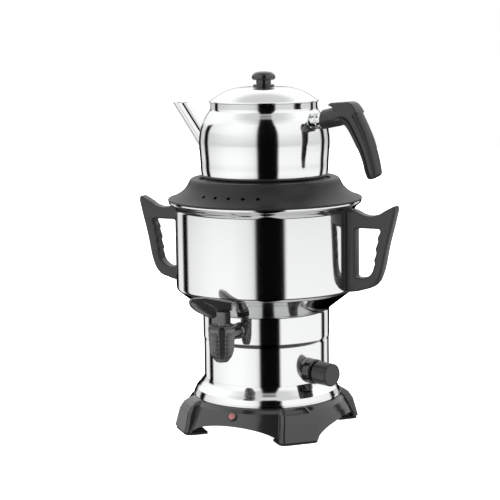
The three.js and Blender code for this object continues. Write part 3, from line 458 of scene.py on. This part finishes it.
onAxis = Matrix.Identity(4)
tapSide = tilt(frontAngle, "Z")
# looks of the pieces: a finish and the material slot that it stands for
steel = ("polishedSteel", "polished_steel")
satin = ("satinPlastic", "black_plastic")
moulded = ("basePlastic", "black_plastic")
lacquered = ("tapPlastic", "black_plastic")
matt = ("ringPlastic", "black_plastic")
gloss = ("glossPlastic", "black_plastic")
redLens = ("pilotRed", "pilot_lens")


# Boiler tank: neck, cone, drum and flared lip

tank = {
    "wall": 1.0,
    "outer": [
        (0, 109.1), (75.4, 109.1), (75.8, 111.1), (75.8, 143.4, 4), (107, 167.8, 6), (107, 261.6),
        [(108.6, 264.5), (111.6, 267.4), (114.2, 269.5), (114.8, 271.1), (114.4, 272.6)],
    ],
}


def buildTank():
    mesh = shellMesh("boilerTank", tank["outer"], tank["wall"])
    finishPiece("boilerTank", mesh, onAxis, steel, "boiler", ["boiler_tank"])


# Lower case: tube with a flared skirt and a rim under the tank

case = {
    "wall": 1.0,
    "outer": [
        (88, 39.3), (87.9, 41.4, 1.4), (85.4, 47.2, 0.8), [(83, 49.9), (80.8, 52.6), (76.9, 57.6), (75, 61)],
        (75, 106.4), (75.5, 108.8), (66, 108.8),
    ],
}


def buildCase():
    mesh = shellMesh("lowerCase", case["outer"], case["wall"])
    finishPiece("lowerCase", mesh, onAxis, steel, "boiler", ["lower_case"])


# Lid ring of the boiler, with its steam holes

lidRing = {
    "outer": [
        (112.2, 272.9), (115.2, 272.9, 0.8), (115.2, 274.9, 1.2),
        [(110, 276.6), (106, 278.4), (99.1, 282.8), (94.2, 287.6), (91.2, 292.3), (89, 296.5), (87.6, 298.2)],
        (86.2, 298.9), (79.3, 298.9, 1.2), (77.6, 297.6, 0.8), (77.6, 294.5, 1), (56, 294.5, 0.6),
        (56, 291.5),
    ],
    "inner": [
        (84, 291.5), [(88.6, 290.3), (91.9, 285.7), (97.1, 280.4), (102.6, 276.8)],
        (102.6, 266.9, 0.6), (105.6, 266.9, 0.6), (105.6, 272.9),
    ],
    # radius, low end and high end of the bar that cuts each hole
    "hole": (2.3, -8, 5),
    "holeSides": 32,
    "holeCount": 5,
    "holeSpacing": 0.178,
    "holePlace": (98.2, 283.6),
    "holeSlope": 0.77,
}


def buildRing():
    mesh = turnedMesh("boilerLidRing", traced(lidRing["outer"] + lidRing["inner"], step=1.2), closed=True)
    holes = []
    for i in range(lidRing["holeCount"]):
        hole = plainBar(*lidRing["hole"], lidRing["holeSides"])
        angle = frontAngle + (i - (lidRing["holeCount"] - 1) / 2) * lidRing["holeSpacing"]
        radius, height = lidRing["holePlace"]
        place = tilt(angle, "Z") @ shift(radius, 0, height) @ tilt(lidRing["holeSlope"], "Y")
        holes.append(movedMesh(hole, place))
    mesh = combined(mesh, holes, "DIFFERENCE")
    finishPiece("boilerLidRing", mesh, onAxis, matt, "boiler_lid", ["boiler_lid_ring"])


# Teapot with its spout

pot = {
    "wall": 0.9,
    # radians from the sides that the spout and the handle are turned
    "turn": -0.17,
    "outer": [
        (0, 294.8), (66, 294.8, 1.5),
        [(71.5, 296.5), (74.3, 301), (75.2, 306), (76, 320), (77, 335), (77.2, 343), (76.6, 350),
         (75.5, 357), (73.5, 363), (70, 369.5), (66, 375.5), (63.5, 379.5), (63, 382)],
        (63, 387.6),
    ],
}

spout = {
    "root": (77.2, 324.8),
    "mouth": (123.5, 384.4),
    "skin": 76.4,
    # share of the way from the root to the mouth, and the radius there
    "radii": [(-0.3, 13.2), (-0.12, 11.2), (0, 10.1), (0.12, 9.1), (0.3, 8.3), (0.6, 8.0), (1.2, 8.0)],
    "radiusStep": 0.02,
    # shares between which the skin and the mouth are looked for, and how often they are halved
    "search": (-0.29, 1.2),
    "halvings": 30,
    "wall": 1.0,
    "sides": 64,
    "rows": 40,
}


def buildPot():
    mesh = shellMesh("teapotBody", pot["outer"], pot["wall"])
    finishPiece("teapotBody", mesh, tilt(pot["turn"], "Z"), steel, "teapot", ["teapot_body"])


def spoutRings(thinner):
    # rings from the body's skin to the level mouth
    root = Vector((spout["root"][0], 0, spout["root"][1]))
    mouth = Vector((spout["mouth"][0], 0, spout["mouth"][1]))
    axis = mouth - root
    across, up = Vector((0, 1, 0)), Vector((-axis.z, 0, axis.x)).normalized()
    swell = curveThrough(spout["radii"], spout["radiusStep"])

    def point(along, turn):
        radius = swell[-1].y
        for before, after in zip(swell, swell[1:]):
            if before.x <= along <= after.x:
                radius = before.y + (after.y - before.y) * (along - before.x) / (after.x - before.x)
                break
        radius -= thinner
        return root + axis * along + across * radius * sin(turn) + up * radius * cos(turn)

    def solved(turn, reached):
        low, high = spout["search"]
        for _ in range(spout["halvings"]):
            middle = (low + high) / 2
            low, high = (low, middle) if reached(point(middle, turn)) else (middle, high)
        return low

    turns = [wholeTurn * i / spout["sides"] for i in range(spout["sides"])]
    starts = [solved(turn, lambda p: hypot(p.x, p.y) > spout["skin"]) for turn in turns]
    ends = [solved(turn, lambda p: p.z > mouth.z) for turn in turns]
    rows = [i / spout["rows"] for i in range(spout["rows"] + 1)]
    return [
        [point(start + (end - start) * row, turn) for start, end, turn in zip(starts, ends, turns)]
        for row in rows
    ]


def buildSpout():
    outside, inside = spoutRings(0), spoutRings(spout["wall"])
    mesh = gridMesh("teapotSpout", outside + inside[::-1], closedAlong=True)
    place = tilt(pot["turn"] + pi, "Z")
    finishPiece("teapotSpout", mesh, place, steel, "teapot", ["teapot_spout"], crisp=50)


# Teapot handle: a steel ferrule and a fluted grip

grip = {
    "axisStart": (84, 369.3),
    "slope": 0.2,
    # lower and upper edge of the grip at each station, from the ferrule to the tip
    "stations": [
        ((84, 358.1), (84, 380.5)),
        ((90, 359.3), (89, 381.6)),
        ((98, 360.9), (97, 383.6)),
        ((105.5, 362.3), (107, 385.6)),
        ((111, 363.8), (118, 386.6)),
        ((114.6, 362.6), (126.5, 384.4)),
        ((118.6, 358.2), (132.3, 379.6)),
        ((122.8, 352), (136, 373.6)),
        ((128.4, 342.4), (141.4, 363.6)),
        ((133.9, 332.4), (147.2, 351.6)),
        ((138.4, 321.6), (152.2, 337.4)),
        ((141, 311.4), (156.2, 323.2)),
        ((143.8, 305.2), (158.4, 312.6)),
    ],
    "halfThickness": [10.9, 10.9, 10.8, 10.6, 10.4, 10.4, 10.4, 10.4, 10.3, 10.2, 10, 9.6, 9.2],
    # place across the blade, half width and depth of each flute
    "flutes": [(-0.27, 0.16, 2.4), (0.47, 0.13, 1.3)],
    "horn": [
        (94.3, 386.6), [(96.5, 388.2), (104, 389.2), (113, 389.9), (121.5, 390)],
        (125, 388.6, 1), [(127.6, 386.1), (130.4, 382.9), (133, 378.6)],
        (126, 372), (102, 379), (101.2, 383.2),
    ],
    "hornThickness": 20,
    "hornEdge": 2.6,
    "sides": 144,
    # shares of the grip's length at which it turns squarer and the flutes begin, and how long each takes
    "square": (0.18, 0.2),
    "squareness": 0.28,
    "fluted": (0.22, 0.12),
    "endDepth": 3.5,
}

ferrule = {
    "outer": [
        (0, -16), (9.8, -16), (9.8, -8, 0.8), (8.4, -7.04, 1), (8.4, -0.3), (5, -0.3), (5, 15), (0, 15),
    ],
}


def squared(value, power):
    # a rounded-square version of a sine or cosine
    return abs(value) ** power * (1 if value >= 0 else -1)


def rising(share, start, run):
    # goes from 0 to 1 over a run
    return min(1, max(0, (share - start) / run))


def stationCurve(points, parts=8):
    # points spread evenly between stations, along a smooth curve through them
    knots = [Vector(point) for point in points]
    drawn = []
    for i in range(len(knots) - 1):
        before, after = knots[max(i - 1, 0)], knots[min(i + 2, len(knots) - 1)]
        first, last = knots[i], knots[i + 1]
        drawn += interpolate_bezier(
            first, first + (last - before) / 6, last - (after - first) / 6, last, parts + 1
        )[:parts]
    return drawn + [knots[-1]]


def gripRings():
    rings = []
    lowCurve = stationCurve([low for low, _ in grip["stations"]])
    highCurve = stationCurve([high for _, high in grip["stations"]])
    halves = stationCurve([(half, 0) for half in grip["halfThickness"]])
    turns = [wholeTurn * side / grip["sides"] for side in range(grip["sides"])]
    for i, (low, high, half) in enumerate(zip(lowCurve, highCurve, halves)):
        share = i / (len(lowCurve) - 1)
        middle, reach = (low + high) / 2, (high - low) / 2
        roundness = 1 - grip["squareness"] * rising(share, *grip["square"])
        grown = rising(share, *grip["fluted"])
        loop = []
        for turn in turns:
            along = squared(cos(turn), roundness)
            across = squared(sin(turn), roundness)
            groove = sum(
                depth * max(0, 1 - ((along - place) / width) ** 2) ** 2
                for place, width, depth in grip["flutes"]
            )
            spot = middle + reach * along
            inwards = 1 if across > 0 else -1
            loop.append(Vector((spot.x, half.x * across - grown * groove * inwards, spot.y)))
        rings.append(loop)
    return rings


def roundedEnd(rings, depth, steps=5):
    # more rings that close the last one in a soft edge
    last, before = rings[-1], rings[-2]
    middle = centreOf(last)
    heading = (middle - centreOf(before)).normalized()
    size = sum((point - middle).length for point in last) / len(last)
    extra = []
    for step in range(1, steps + 1):
        turn = quarterTurn * step / steps
        inset = 1 - depth * (1 - cos(turn)) / size
        extra.append([middle + (point - middle) * inset + heading * depth * sin(turn) for point in last])
    return rings + extra + [[middle + heading * depth]]


def buildGrip():
    rings = gripRings()
    stem = gridMesh("stem", [[centreOf(rings[0])]] + roundedEnd(rings, grip["endDepth"]))
    outline = traced(grip["horn"], step=1, closed=True)
    horn = slabMesh("horn", outline, [], grip["hornThickness"], grip["hornEdge"])
    mesh = combined(stem, [horn])
    place = tilt(pot["turn"], "Z")
    finishPiece("teapotGrip", mesh, place, satin, "teapot", ["teapot_grip"], crisp=38)


def buildFerrule():
    mesh = turnedMesh("handleBracket", traced(ferrule["outer"], step=0.6), knobSides)
    x, z = grip["axisStart"]
    place = tilt(pot["turn"], "Z") @ shift(x, 0, z) @ tilt(quarterTurn - grip["slope"], "Y")
    finishPiece("handleBracket", mesh, place, steel, "teapot", ["handle_bracket"])


# Teapot lid and its knob

lid = {
    "outer": [
        (0, 405.7),
        [(16, 405.6), (20.5, 405.4), (30.8, 404.6), (42.7, 401.5), (53.3, 396.4), (61, 391.3),
         (63.6, 389.6)],
        (64.4, 389.4, 0.6), (64.4, 387.9, 0.5), (61.1, 387.9),
    ],
    "inner": [
        (61.1, 381.9), (60.2, 381.9), (60.2, 389.6),
        [(53, 395.4), (42.3, 400.6), (30.6, 403.7), (16, 404.8), (0, 404.8)],
    ],
}

lidKnob = {
    "outer": [
        (0, 406.0), (12.6, 406.0, 0.5), (12.6, 408.2, 0.8), (8.7, 408.2, 0.6), (8.7, 413.4, 0.5),
        [(12.5, 413.9), (13.7, 415.2), (13.8, 417), (13.2, 419.2), (10.5, 421.8), (6, 423.1), (0, 423.4)],
    ],
}


def buildLid():
    mesh = turnedMesh("teapotLid", traced(lid["outer"] + lid["inner"], step=1.5))
    finishPiece("teapotLid", mesh, onAxis, steel, "teapot_lid", ["teapot_lid"])
    mesh = turnedMesh("lidKnob", traced(lidKnob["outer"], step=0.5), knobSides)
    finishPiece("lidKnob", mesh, onAxis, gloss, "teapot_lid", ["lid_knob"])


# Boiler handles: a bowed grip with finger waves, on a spine bolted to the drum

handle = {
    "thickness": 16,
    "edge": 2.4,
    "outer": [
        (106.6, 168),
        [(118.2, 169.4), (129.5, 172.4), (139, 175.8), (145.9, 183.4), (149.2, 191), (152.3, 202),
         (154.4, 213), (157.6, 228), (162.4, 246), (167, 264.8)],
        [(165.5, 271), (162.7, 270)],
        [(154, 265.4), (146.7, 261), (141.4, 259.2), (135.9, 258.3), (127.4, 259.5), (115.6, 264.4),
         (106.6, 265)],
    ],
    "hole": [
        (117.6, 188.6), [(119.2, 185.9), (122, 185.7), (127.7, 185.7), (136, 190.4), (138.9, 194.4)],
        [(140.5, 200.4), (141.5, 203.7), (140.7, 206.5), (142.6, 213), (143.3, 216.6), (142.6, 219.6),
         (144.6, 226.6), (145.5, 229.6), (145, 232.6), (147.2, 238)],
        [(148.2, 241), (147.6, 243), (144.6, 243.7)], (121, 243.7), [(118.6, 242.8), (117.6, 240.6)],
    ],
    # radius, low end and high end of the drum that the grip is cut to
    "drum": (107.3, 100, 272.6),
}


def buildHandles():
    outline = traced(handle["outer"], step=1.5, closed=True)
    hole = traced(handle["hole"], step=1, closed=True)
    for side, angle in [("right", 0), ("left", pi)]:
        mesh = slabMesh("handle", outline, [hole], handle["thickness"], handle["edge"])
        mesh = combined(mesh, [plainBar(*handle["drum"], roundSides)], "DIFFERENCE")
        finishPiece(side + "Handle", mesh, tilt(angle, "Z"), satin, "boiler", [side + "_handle"])


# Base: a moulded skirt with four feet and low arches between them

base = {
    "floor": 3.3,
    "top": 39,
    "wall": 3,
    "shelf": 72,
    # height share, then radius of the skirt, reach of a foot and half width of a foot
    "rows": [
        (0, 108.5, 111, 25), (0.27, 103.9, 108.6, 24.2), (0.61, 98.6, 105.6, 22),
        (0.84, 93.4, 100.4, 19.4), (0.95, 89.6, 94.5, 16.4), (1, 88.5, 89, 14),
    ],
    # degrees at which the feet stand
    "feet": (45, 135, 225, 315),
    "archHeight": 19,
    "archHalfWidth": 58,
    # height share at which the arches' width is measured
    "archShare": 0.1,
    # degrees from the middle of a foot up to which columns are this far apart
    "columns": [(9.5, 0.5), (15.5, 0.1), (45, 0.7)],
    "levels": 36,
    "footPower": 14,
    "softness": 0.7,
    # height, reach and half width of the block that closes a foot's inner side
    "core": [(3.3, 102, 15), (22, 99, 14.5), (36.5, 91, 12)],
    "coreInner": 90,
}


def alongTable(rows, share):
    # values between the rows of a table
    for i in range(len(rows) - 1):
        if share <= rows[i + 1][0] or i == len(rows) - 2:
            part = (share - rows[i][0]) / (rows[i + 1][0] - rows[i][0])
            return [a + (b - a) * part for a, b in zip(rows[i][1:], rows[i + 1][1:])]


def baseRadius(angle, share):
    skirt, reach, half = alongTable(base["rows"], share)
    off = (angle % quarterTurn) - quarterTurn / 2
    power = base["footPower"]
    foot = ((cos(off) / reach) ** power + (abs(sin(off)) / half) ** power) ** (-1 / power)
    gap = foot - skirt
    return skirt + (gap + sqrt(gap * gap + base["softness"] ** 2)) / 2


def archFloor(angle):
    # height of the skirt's lower edge
    off = ((angle + quarterTurn / 2) % quarterTurn) - quarterTurn / 2
    across = baseRadius(angle, base["archShare"]) * sin(off) / base["archHalfWidth"]
    if abs(across) >= 1:
        return base["floor"]
    return max(base["floor"], base["archHeight"] * sqrt(1 - across * across))


def baseAngles():
    # closer together where a foot's sides are
    half, start = [], 0
    for end, step in base["columns"]:
        count = round((end - start) / step)
        half += [start + (end - start) * i / count for i in range(count)]
        start = end
    offsets = [-offset for offset in half[:0:-1]] + half
    return [radians(middle + offset) for middle in base["feet"] for offset in offsets]


def skirtRing(angles, floors, level, thinner):
    # one level of the skirt's outer or inner side
    low, high = base["floor"], base["top"]
    loop = []
    for angle, floor in zip(angles, floors):
        height = floor + (high - thinner - floor) * level
        radius = baseRadius(angle, (height - low) / (high - low)) - thinner
        loop.append(Vector((radius * cos(angle), radius * sin(angle), height)))
    return loop


def footCore(angle):
    # the closed inner side of a foot
    rings = []
    for height, reach, half in base["core"]:
        corners = [(base["coreInner"], -half), (reach, -half), (reach, half), (base["coreInner"], half)]
        rings.append([Vector((x, y, height)) for x, y in corners])
    return movedMesh(cappedMesh("core", rings), tilt(angle, "Z"))


def buildBase():
    angles = baseAngles()
    floors = [archFloor(angle) for angle in angles]
    levels = [i / base["levels"] for i in range(base["levels"] + 1)]
    outside = [skirtRing(angles, floors, level, 0) for level in levels]
    inside = [skirtRing(angles, floors, level, base["wall"]) for level in levels]
    shelf = [
        [Vector((base["shelf"] * cos(angle), base["shelf"] * sin(angle), height)) for angle in angles]
        for height in (base["top"], base["top"] - base["wall"])
    ]
    mesh = gridMesh("base", outside + shelf + inside[::-1], closedAlong=True)
    mesh = combined(mesh, [footCore(radians(middle)) for middle in base["feet"]])
    finishPiece("base", mesh, onAxis, moulded, "boiler", ["base"], crisp=40)


# Pilot light on the skirt

skirtSpot = {"radius": 96.1, "height": 29.7, "slope": 0.61}
pilot = {
    "housing": [
        (3.4, -8), (4.2, -8), (4.2, 0.3), (5.7, 0.3, 0.2), (5.7, 2.1, 0.7), (4.6, 2.1, 0.4), (4.4, 1.0),
        (3.4, 1.0),
    ],
    "lens": [(0, 1.2), (4.1, 1.2), (4.1, 2.2, 0.6), [(3.2, 3.2), (1.8, 3.8), (0, 4.0)]],
}
onSkirt = (
    tapSide @ shift(skirtSpot["radius"], 0, skirtSpot["height"]) @ tilt(quarterTurn - skirtSpot["slope"], "Y")
)


def buildPilot():
    profile = traced(pilot["housing"], step=0.4, closed=True)
    mesh = turnedMesh("pilotHousing", profile, smallSides, closed=True)
    finishPiece("pilotHousing", mesh, onSkirt, gloss, "boiler", ["pilot_housing"])
    mesh = turnedMesh("pilotLens", traced(pilot["lens"], step=0.4), smallSides)
    finishPiece("pilotLens", mesh, onSkirt, redLens, "boiler", ["pilot_lens"])


# Thermostat knob and the disc behind it

dial = {
    "angle": frontAngle + 1.2,
    "height": 75.6,
    "disc": [(4.9, 72.4), (14.6, 72.4), (14.6, 83.2, 1), (13.4, 84.3, 0.4), (4.9, 84.3)],
    "knob": [
        (0, 109.6), (12.2, 109.6, 0.6), (12.6, 109.2, 0.3), (13.4, 108.2, 0.8), (13.4, 87.6, 0.8),
        (9, 87.6, 0.6), (9, 84.6), (3.3, 84.6), (3.3, 102.9), (0, 102.9),
    ],
    # radius, low end and high end of the case's tube, which the disc is cut to
    "tube": (75.3, 40, 120),
}
onDial = tilt(dial["angle"], "Z") @ shift(0, 0, dial["height"]) @ tilt(quarterTurn, "Y")


def buildDial():
    mesh = turnedMesh("knobDisc", traced(dial["disc"], step=0.6, closed=True), knobSides, closed=True)
    mesh = combined(movedMesh(mesh, onDial), [plainBar(*dial["tube"], roundSides)], "DIFFERENCE")
    finishPiece("knobDisc", mesh, onAxis, gloss, "boiler", ["knob_disc"])
    mesh = turnedMesh("thermostatKnob", traced(dial["knob"], step=0.6), knobSides)
    finishPiece("thermostatKnob", mesh, onDial, satin, "thermostat_knob", ["thermostat_knob"])


# Tap: a ridged barrel on a stem, its cap, and a wing that turns the plug

tap = {
    "reach": 120.3,
    "height": 127.5,
    "barrel": [
        (0, 99.7), (6.6, 99.9, 1.4),
        [(8.2, 101.8), (11.9, 107.2), (13.4, 111.6), (14.5, 123), (15.1, 135.6), (15.3, 138.6)],
        (14.9, 139.3), (0, 139.3),
    ],
    "barrelSides": 200,
    "stem": [
        (0, 61.8), (7.8, 61.8), (7.8, 78.2), (9.3, 78.2, 0.4), (9.3, 79.6, 0.8), (7.8, 81, 0.8),
        (7.8, 120), (0, 120),
    ],
    "cap": [(4.3, 139.6), (14.4, 139.6), (14.4, 142.2, 0.9), (13.3, 142.8, 0.5), (4.3, 142.8)],
    # round cuts as radius, low end and high end
    "outlet": (4.5, 90, 125),
    "chamber": (9, 118.3, 150),
    "bore": (4.5, 50, 120.3),
}

ridges = {
    # radians round the barrel to the middle of the flat strip
    "middle": 0.5,
    "depth": 0.9,
    "pitch": 4.8,
    "slope": 0.9,
    "low": 101,
    "high": 135,
    "fade": 4,
    "flatHalf": 0.24,
}


def ridgeDepth(turn, radius, height):
    # slanting ridges that rise to both sides of a flat middle strip
    off = abs((turn - ridges["middle"] + pi) % wholeTurn - pi)
    if off < ridges["flatHalf"]:
        return radius * (1 - cos(ridges["flatHalf"]) / cos(off))
    across = (off - ridges["flatHalf"]) * radius
    wave = 0.5 + 0.5 * cos(wholeTurn * (height - across * ridges["slope"]) / ridges["pitch"])
    fades = [(height - ridges["low"]) / ridges["fade"], (ridges["high"] - height) / ridges["fade"], across]
    return ridges["depth"] * wave * min(1, max(0, min(fades)))


def buildTap():
    onBarrel = shift(tap["reach"], 0, 0)
    onStem = shift(0, 0, tap["height"]) @ tilt(quarterTurn, "Y")
    barrel = turnedMesh("barrel", traced(tap["barrel"], step=0.5), tap["barrelSides"], inset=ridgeDepth)
    stem = turnedMesh("stem", traced(tap["stem"], step=0.8), knobSides)
    mesh = combined(movedMesh(barrel, onBarrel), [movedMesh(stem, onStem)])
    cuts = [movedMesh(plainBar(*tap[name]), onBarrel) for name in ("outlet", "chamber")]
    cuts.append(movedMesh(plainBar(*tap["bore"]), onStem))
    mesh = combined(mesh, cuts, "DIFFERENCE")
    finishPiece("tapBody", mesh, tapSide, lacquered, "boiler", ["tap_body"])
    mesh = turnedMesh("tapCap", traced(tap["cap"], step=0.5, closed=True), knobSides, closed=True)
    finishPiece("tapCap", mesh, tapSide @ onBarrel, gloss, "boiler", ["tap_cap"])


lever = {
    "rest": -1.012,
    "wing": [
        (-12.5, 168.8, 1), (-12.5, 159, 1), (-2.5, 157), (1.2, 153.5),
        [(9.1, 150.8), (22.7, 155.6), (32.6, 162.1), (35.9, 166.5), (36.4, 170), (34.9, 172.6), (30, 174.1)],
        (16.5, 174.3, 4),
    ],
    "thickness": 8,
    "edge": 1.6,
    # height of each level of the root, and where its slanting front face ends at the back
    "root": [(144.8, -2.7), (158, -2.7)],
    "rootFront": 11,
    "rootBack": -9.5,
    "rootHalf": 9,
    "rootSide": 1.7,
    "dish": [
        (0, -1), (0.35, -0.94), (0.6, -0.74), (0.8, -0.42), (0.93, -0.14), (1, 0), (1.05, 0.3), (0, 0.3),
    ],
    "dishSize": (17.4, 6.9, 1.5),
    "dishPlace": (18.3, 162.2),
    "dishTilt": 0.436,
    "neck": (4.3, 140, 152.4),
}


def leverRoot():
    rings = []
    front, back, half = lever["rootFront"], lever["rootBack"], lever["rootHalf"]
    for height, corner in lever["root"]:
        outline = [(front, -half), (front, lever["rootSide"]), (corner, half), (back, half), (back, -half)]
        rings.append([Vector((x, y, height)) for x, y in outline])
    return cappedMesh("root", rings)


def buildLever():
    wing = slabMesh("wing", traced(lever["wing"], step=1, closed=True), [], lever["thickness"], lever["edge"])
    dish = movedMesh(turnedMesh("dish", lever["dish"], knobSides), Matrix.Diagonal((*lever["dishSize"], 1)))
    x, z = lever["dishPlace"]
    dishPlace = shift(x, lever["thickness"] / 2, z) @ tilt(-lever["dishTilt"], "Y") @ tilt(-quarterTurn, "X")
    mesh = combined(wing, [leverRoot()])
    mesh = combined(mesh, [movedMesh(dish, dishPlace), plainBar(*lever["neck"])], "DIFFERENCE")
    place = tapSide @ shift(tap["reach"], 0, 0) @ tilt(lever["rest"], "Z")
    finishPiece("tapLever", mesh, place, lacquered, "tap_lever", ["tap_lever"], crisp=30)


buildTank()
buildCase()
buildRing()
buildPot()
buildSpout()
print("vessels built")
buildFerrule()
buildGrip()
buildLid()
buildHandles()
print("handles and lid built")
buildBase()
buildPilot()
buildDial()
buildTap()
buildLever()
print("base, dial and tap built")


# Pieces of the frame that keep their own meshes

frameFinishes = {
    "polished_steel": "polishedSteel",
    "plain_steel": "plainSteel",
    "black_plastic": "satinPlastic",
    "foot_rubber": "footRubber",
    "silicone": "silicone",
    "heater_aluminium": "castAluminium",
    "ceramic": "ceramic",
    "pilot_lens": "pilotRed",
}


def dressFrame():
    for entry in frame["record"]["subparts"]:
        node = frame["nodes"].get(entry["node"])
        if node:
            node.data.materials.clear()
            node.data.materials.append(materials[frameFinishes[entry["material_slot"]]])


dressFrame()


# Studio: white strips with dark gaps all round, seen in the steel, over a white floor

# the side that the photograph was taken from, to the right of the front
viewSide = radians(25)

studio = {
    # degrees from the camera's side, positive to its right, and the brightness there
    "panels": [
        (-180, 0.002), (-152, 0.002), (-148, 0.85), (-133, 0.85), (-129, 0.002), (-119, 0.002), (-115, 0.83),
        (-90, 0.93), (-70, 1), (-45, 1), (-22, 0.9), (-15, 0.76), (-11, 0.002), (22.5, 0.002), (26.5, 0.95),
        (117.5, 0.93), (121.5, 0.002), (130, 0.002), (134, 0.82), (148, 0.82), (152, 0.002), (180, 0.002),
    ],
    # height of a direction and the brightness there
    "heights": [
        (-1, 0.56), (-0.72, 0.56), (-0.64, 0.08), (-0.42, 0.08), (-0.34, 0.95), (-0.25, 1), (-0.2, 0.98),
        (-0.145, 0.93), (-0.1, 0.76), (-0.06, 0.7), (0.1, 0.78), (0.2, 0.93), (0.5, 1), (0.74, 1),
        (0.86, 0.66), (1, 0.6),
    ],
    "strength": 1.15,
    # how far the overhead panel leans away from the camera, and where it starts
    "overheadLean": 0.6,
    "overheadEdge": (0.62, 0.7),
    "floorRadius": 4,
    "floorColor": 0.9,
    "floorRoughness": 0.7,
    "floorGlow": 1.3,
}


def buildWorld():
    world = bpy.data.worlds.new("studio")
    scene.world = world
    graph = Graph(world)
    direction = graph.add("TexCoord")

    def along(x, y):
        # how far a direction points along another
        return graph.add("VectorMath", {"operation": "DOT_PRODUCT"}, {0: direction, 1: (x, y, 0)}, "Value")

    toward, right = along(sin(viewSide), -cos(viewSide)), along(cos(viewSide), sin(viewSide))
    up = graph.add("SeparateXYZ", {}, {0: direction}, "Z")
    around = right.maths("ARCTAN2", right, toward) / wholeTurn + 0.5
    stops = [(angle / 360 + 0.5, shade) for angle, shade in studio["panels"]]
    strips = graph.add("ValToRGB", {"stops": stops}, {0: around})
    edges = list(zip(studio["overheadEdge"], (0, 1)))
    overhead = graph.add("ValToRGB", {"stops": edges}, {0: up - toward * studio["overheadLean"]})
    light = graph.add("Mix", {"data_type": "RGBA"}, {"Factor": overhead, "A": strips, "B": grey(1)}, "Result")
    levels = [(height / 2 + 0.5, shade) for height, shade in studio["heights"]]
    level = graph.add("ValToRGB", {"stops": levels}, {0: up / 2 + 0.5})
    multiply = {"data_type": "RGBA", "blend_type": "MULTIPLY"}
    light = graph.add("Mix", multiply, {"Factor": 1.0, "A": light, "B": level}, "Result")
    seen = graph.add("LightPath", output="Is Camera Ray")
    backdrop = graph.add("Background", {}, {"Color": grey(1), "Strength": 1.0})
    lit = graph.add("Background", {}, {"Color": light, "Strength": studio["strength"]})
    mixed = graph.add("MixShader", {}, {0: seen, 1: lit, 2: backdrop})
    graph.add("OutputWorld", {}, {"Surface": mixed})


def buildFloor():
    mesh = turnedMesh("floor", [(0, 0), (studio["floorRadius"], 0)], knobSides)
    material = bpy.data.materials.new("floorWhite")
    graph = Graph(material)
    shader = graph.add("BsdfPrincipled", {}, {
        "Base Color": grey(studio["floorColor"]), "Roughness": studio["floorRoughness"],
        "Emission Color": grey(1), "Emission Strength": studio["floorGlow"],
    })
    graph.add("OutputMaterial", {}, {"Surface": shader})
    mesh.materials.append(material)
    floor = linked("floor", mesh)
    floor.visible_glossy = False


view = {
    "distance": 1.854,
    "height": 0.4866,
    "pitch": 81.56,
    "yaw": 25.573,
    "roll": -0.75,
    "lens": 113.0,
    "sensor": 36,
}


def buildCamera():
    data = bpy.data.cameras.new("camera")
    data.lens = view["lens"]
    data.sensor_width = view["sensor"]
    camera = linked("camera", data)
    middle = vesselAxis.translation
    x = middle.x + view["distance"] * sin(viewSide)
    y = middle.y - view["distance"] * cos(viewSide)
    yaw, pitch, roll = radians(view["yaw"]), radians(view["pitch"]), radians(view["roll"])
    turn = tilt(yaw, "Z") @ tilt(pitch, "X") @ tilt(roll, "Z")
    camera.matrix_world = shift(x, y, view["height"]) @ turn
    scene.camera = camera


buildWorld()
buildFloor()
buildCamera()
scene.view_settings.view_transform = "Standard"
print("studio and camera set")
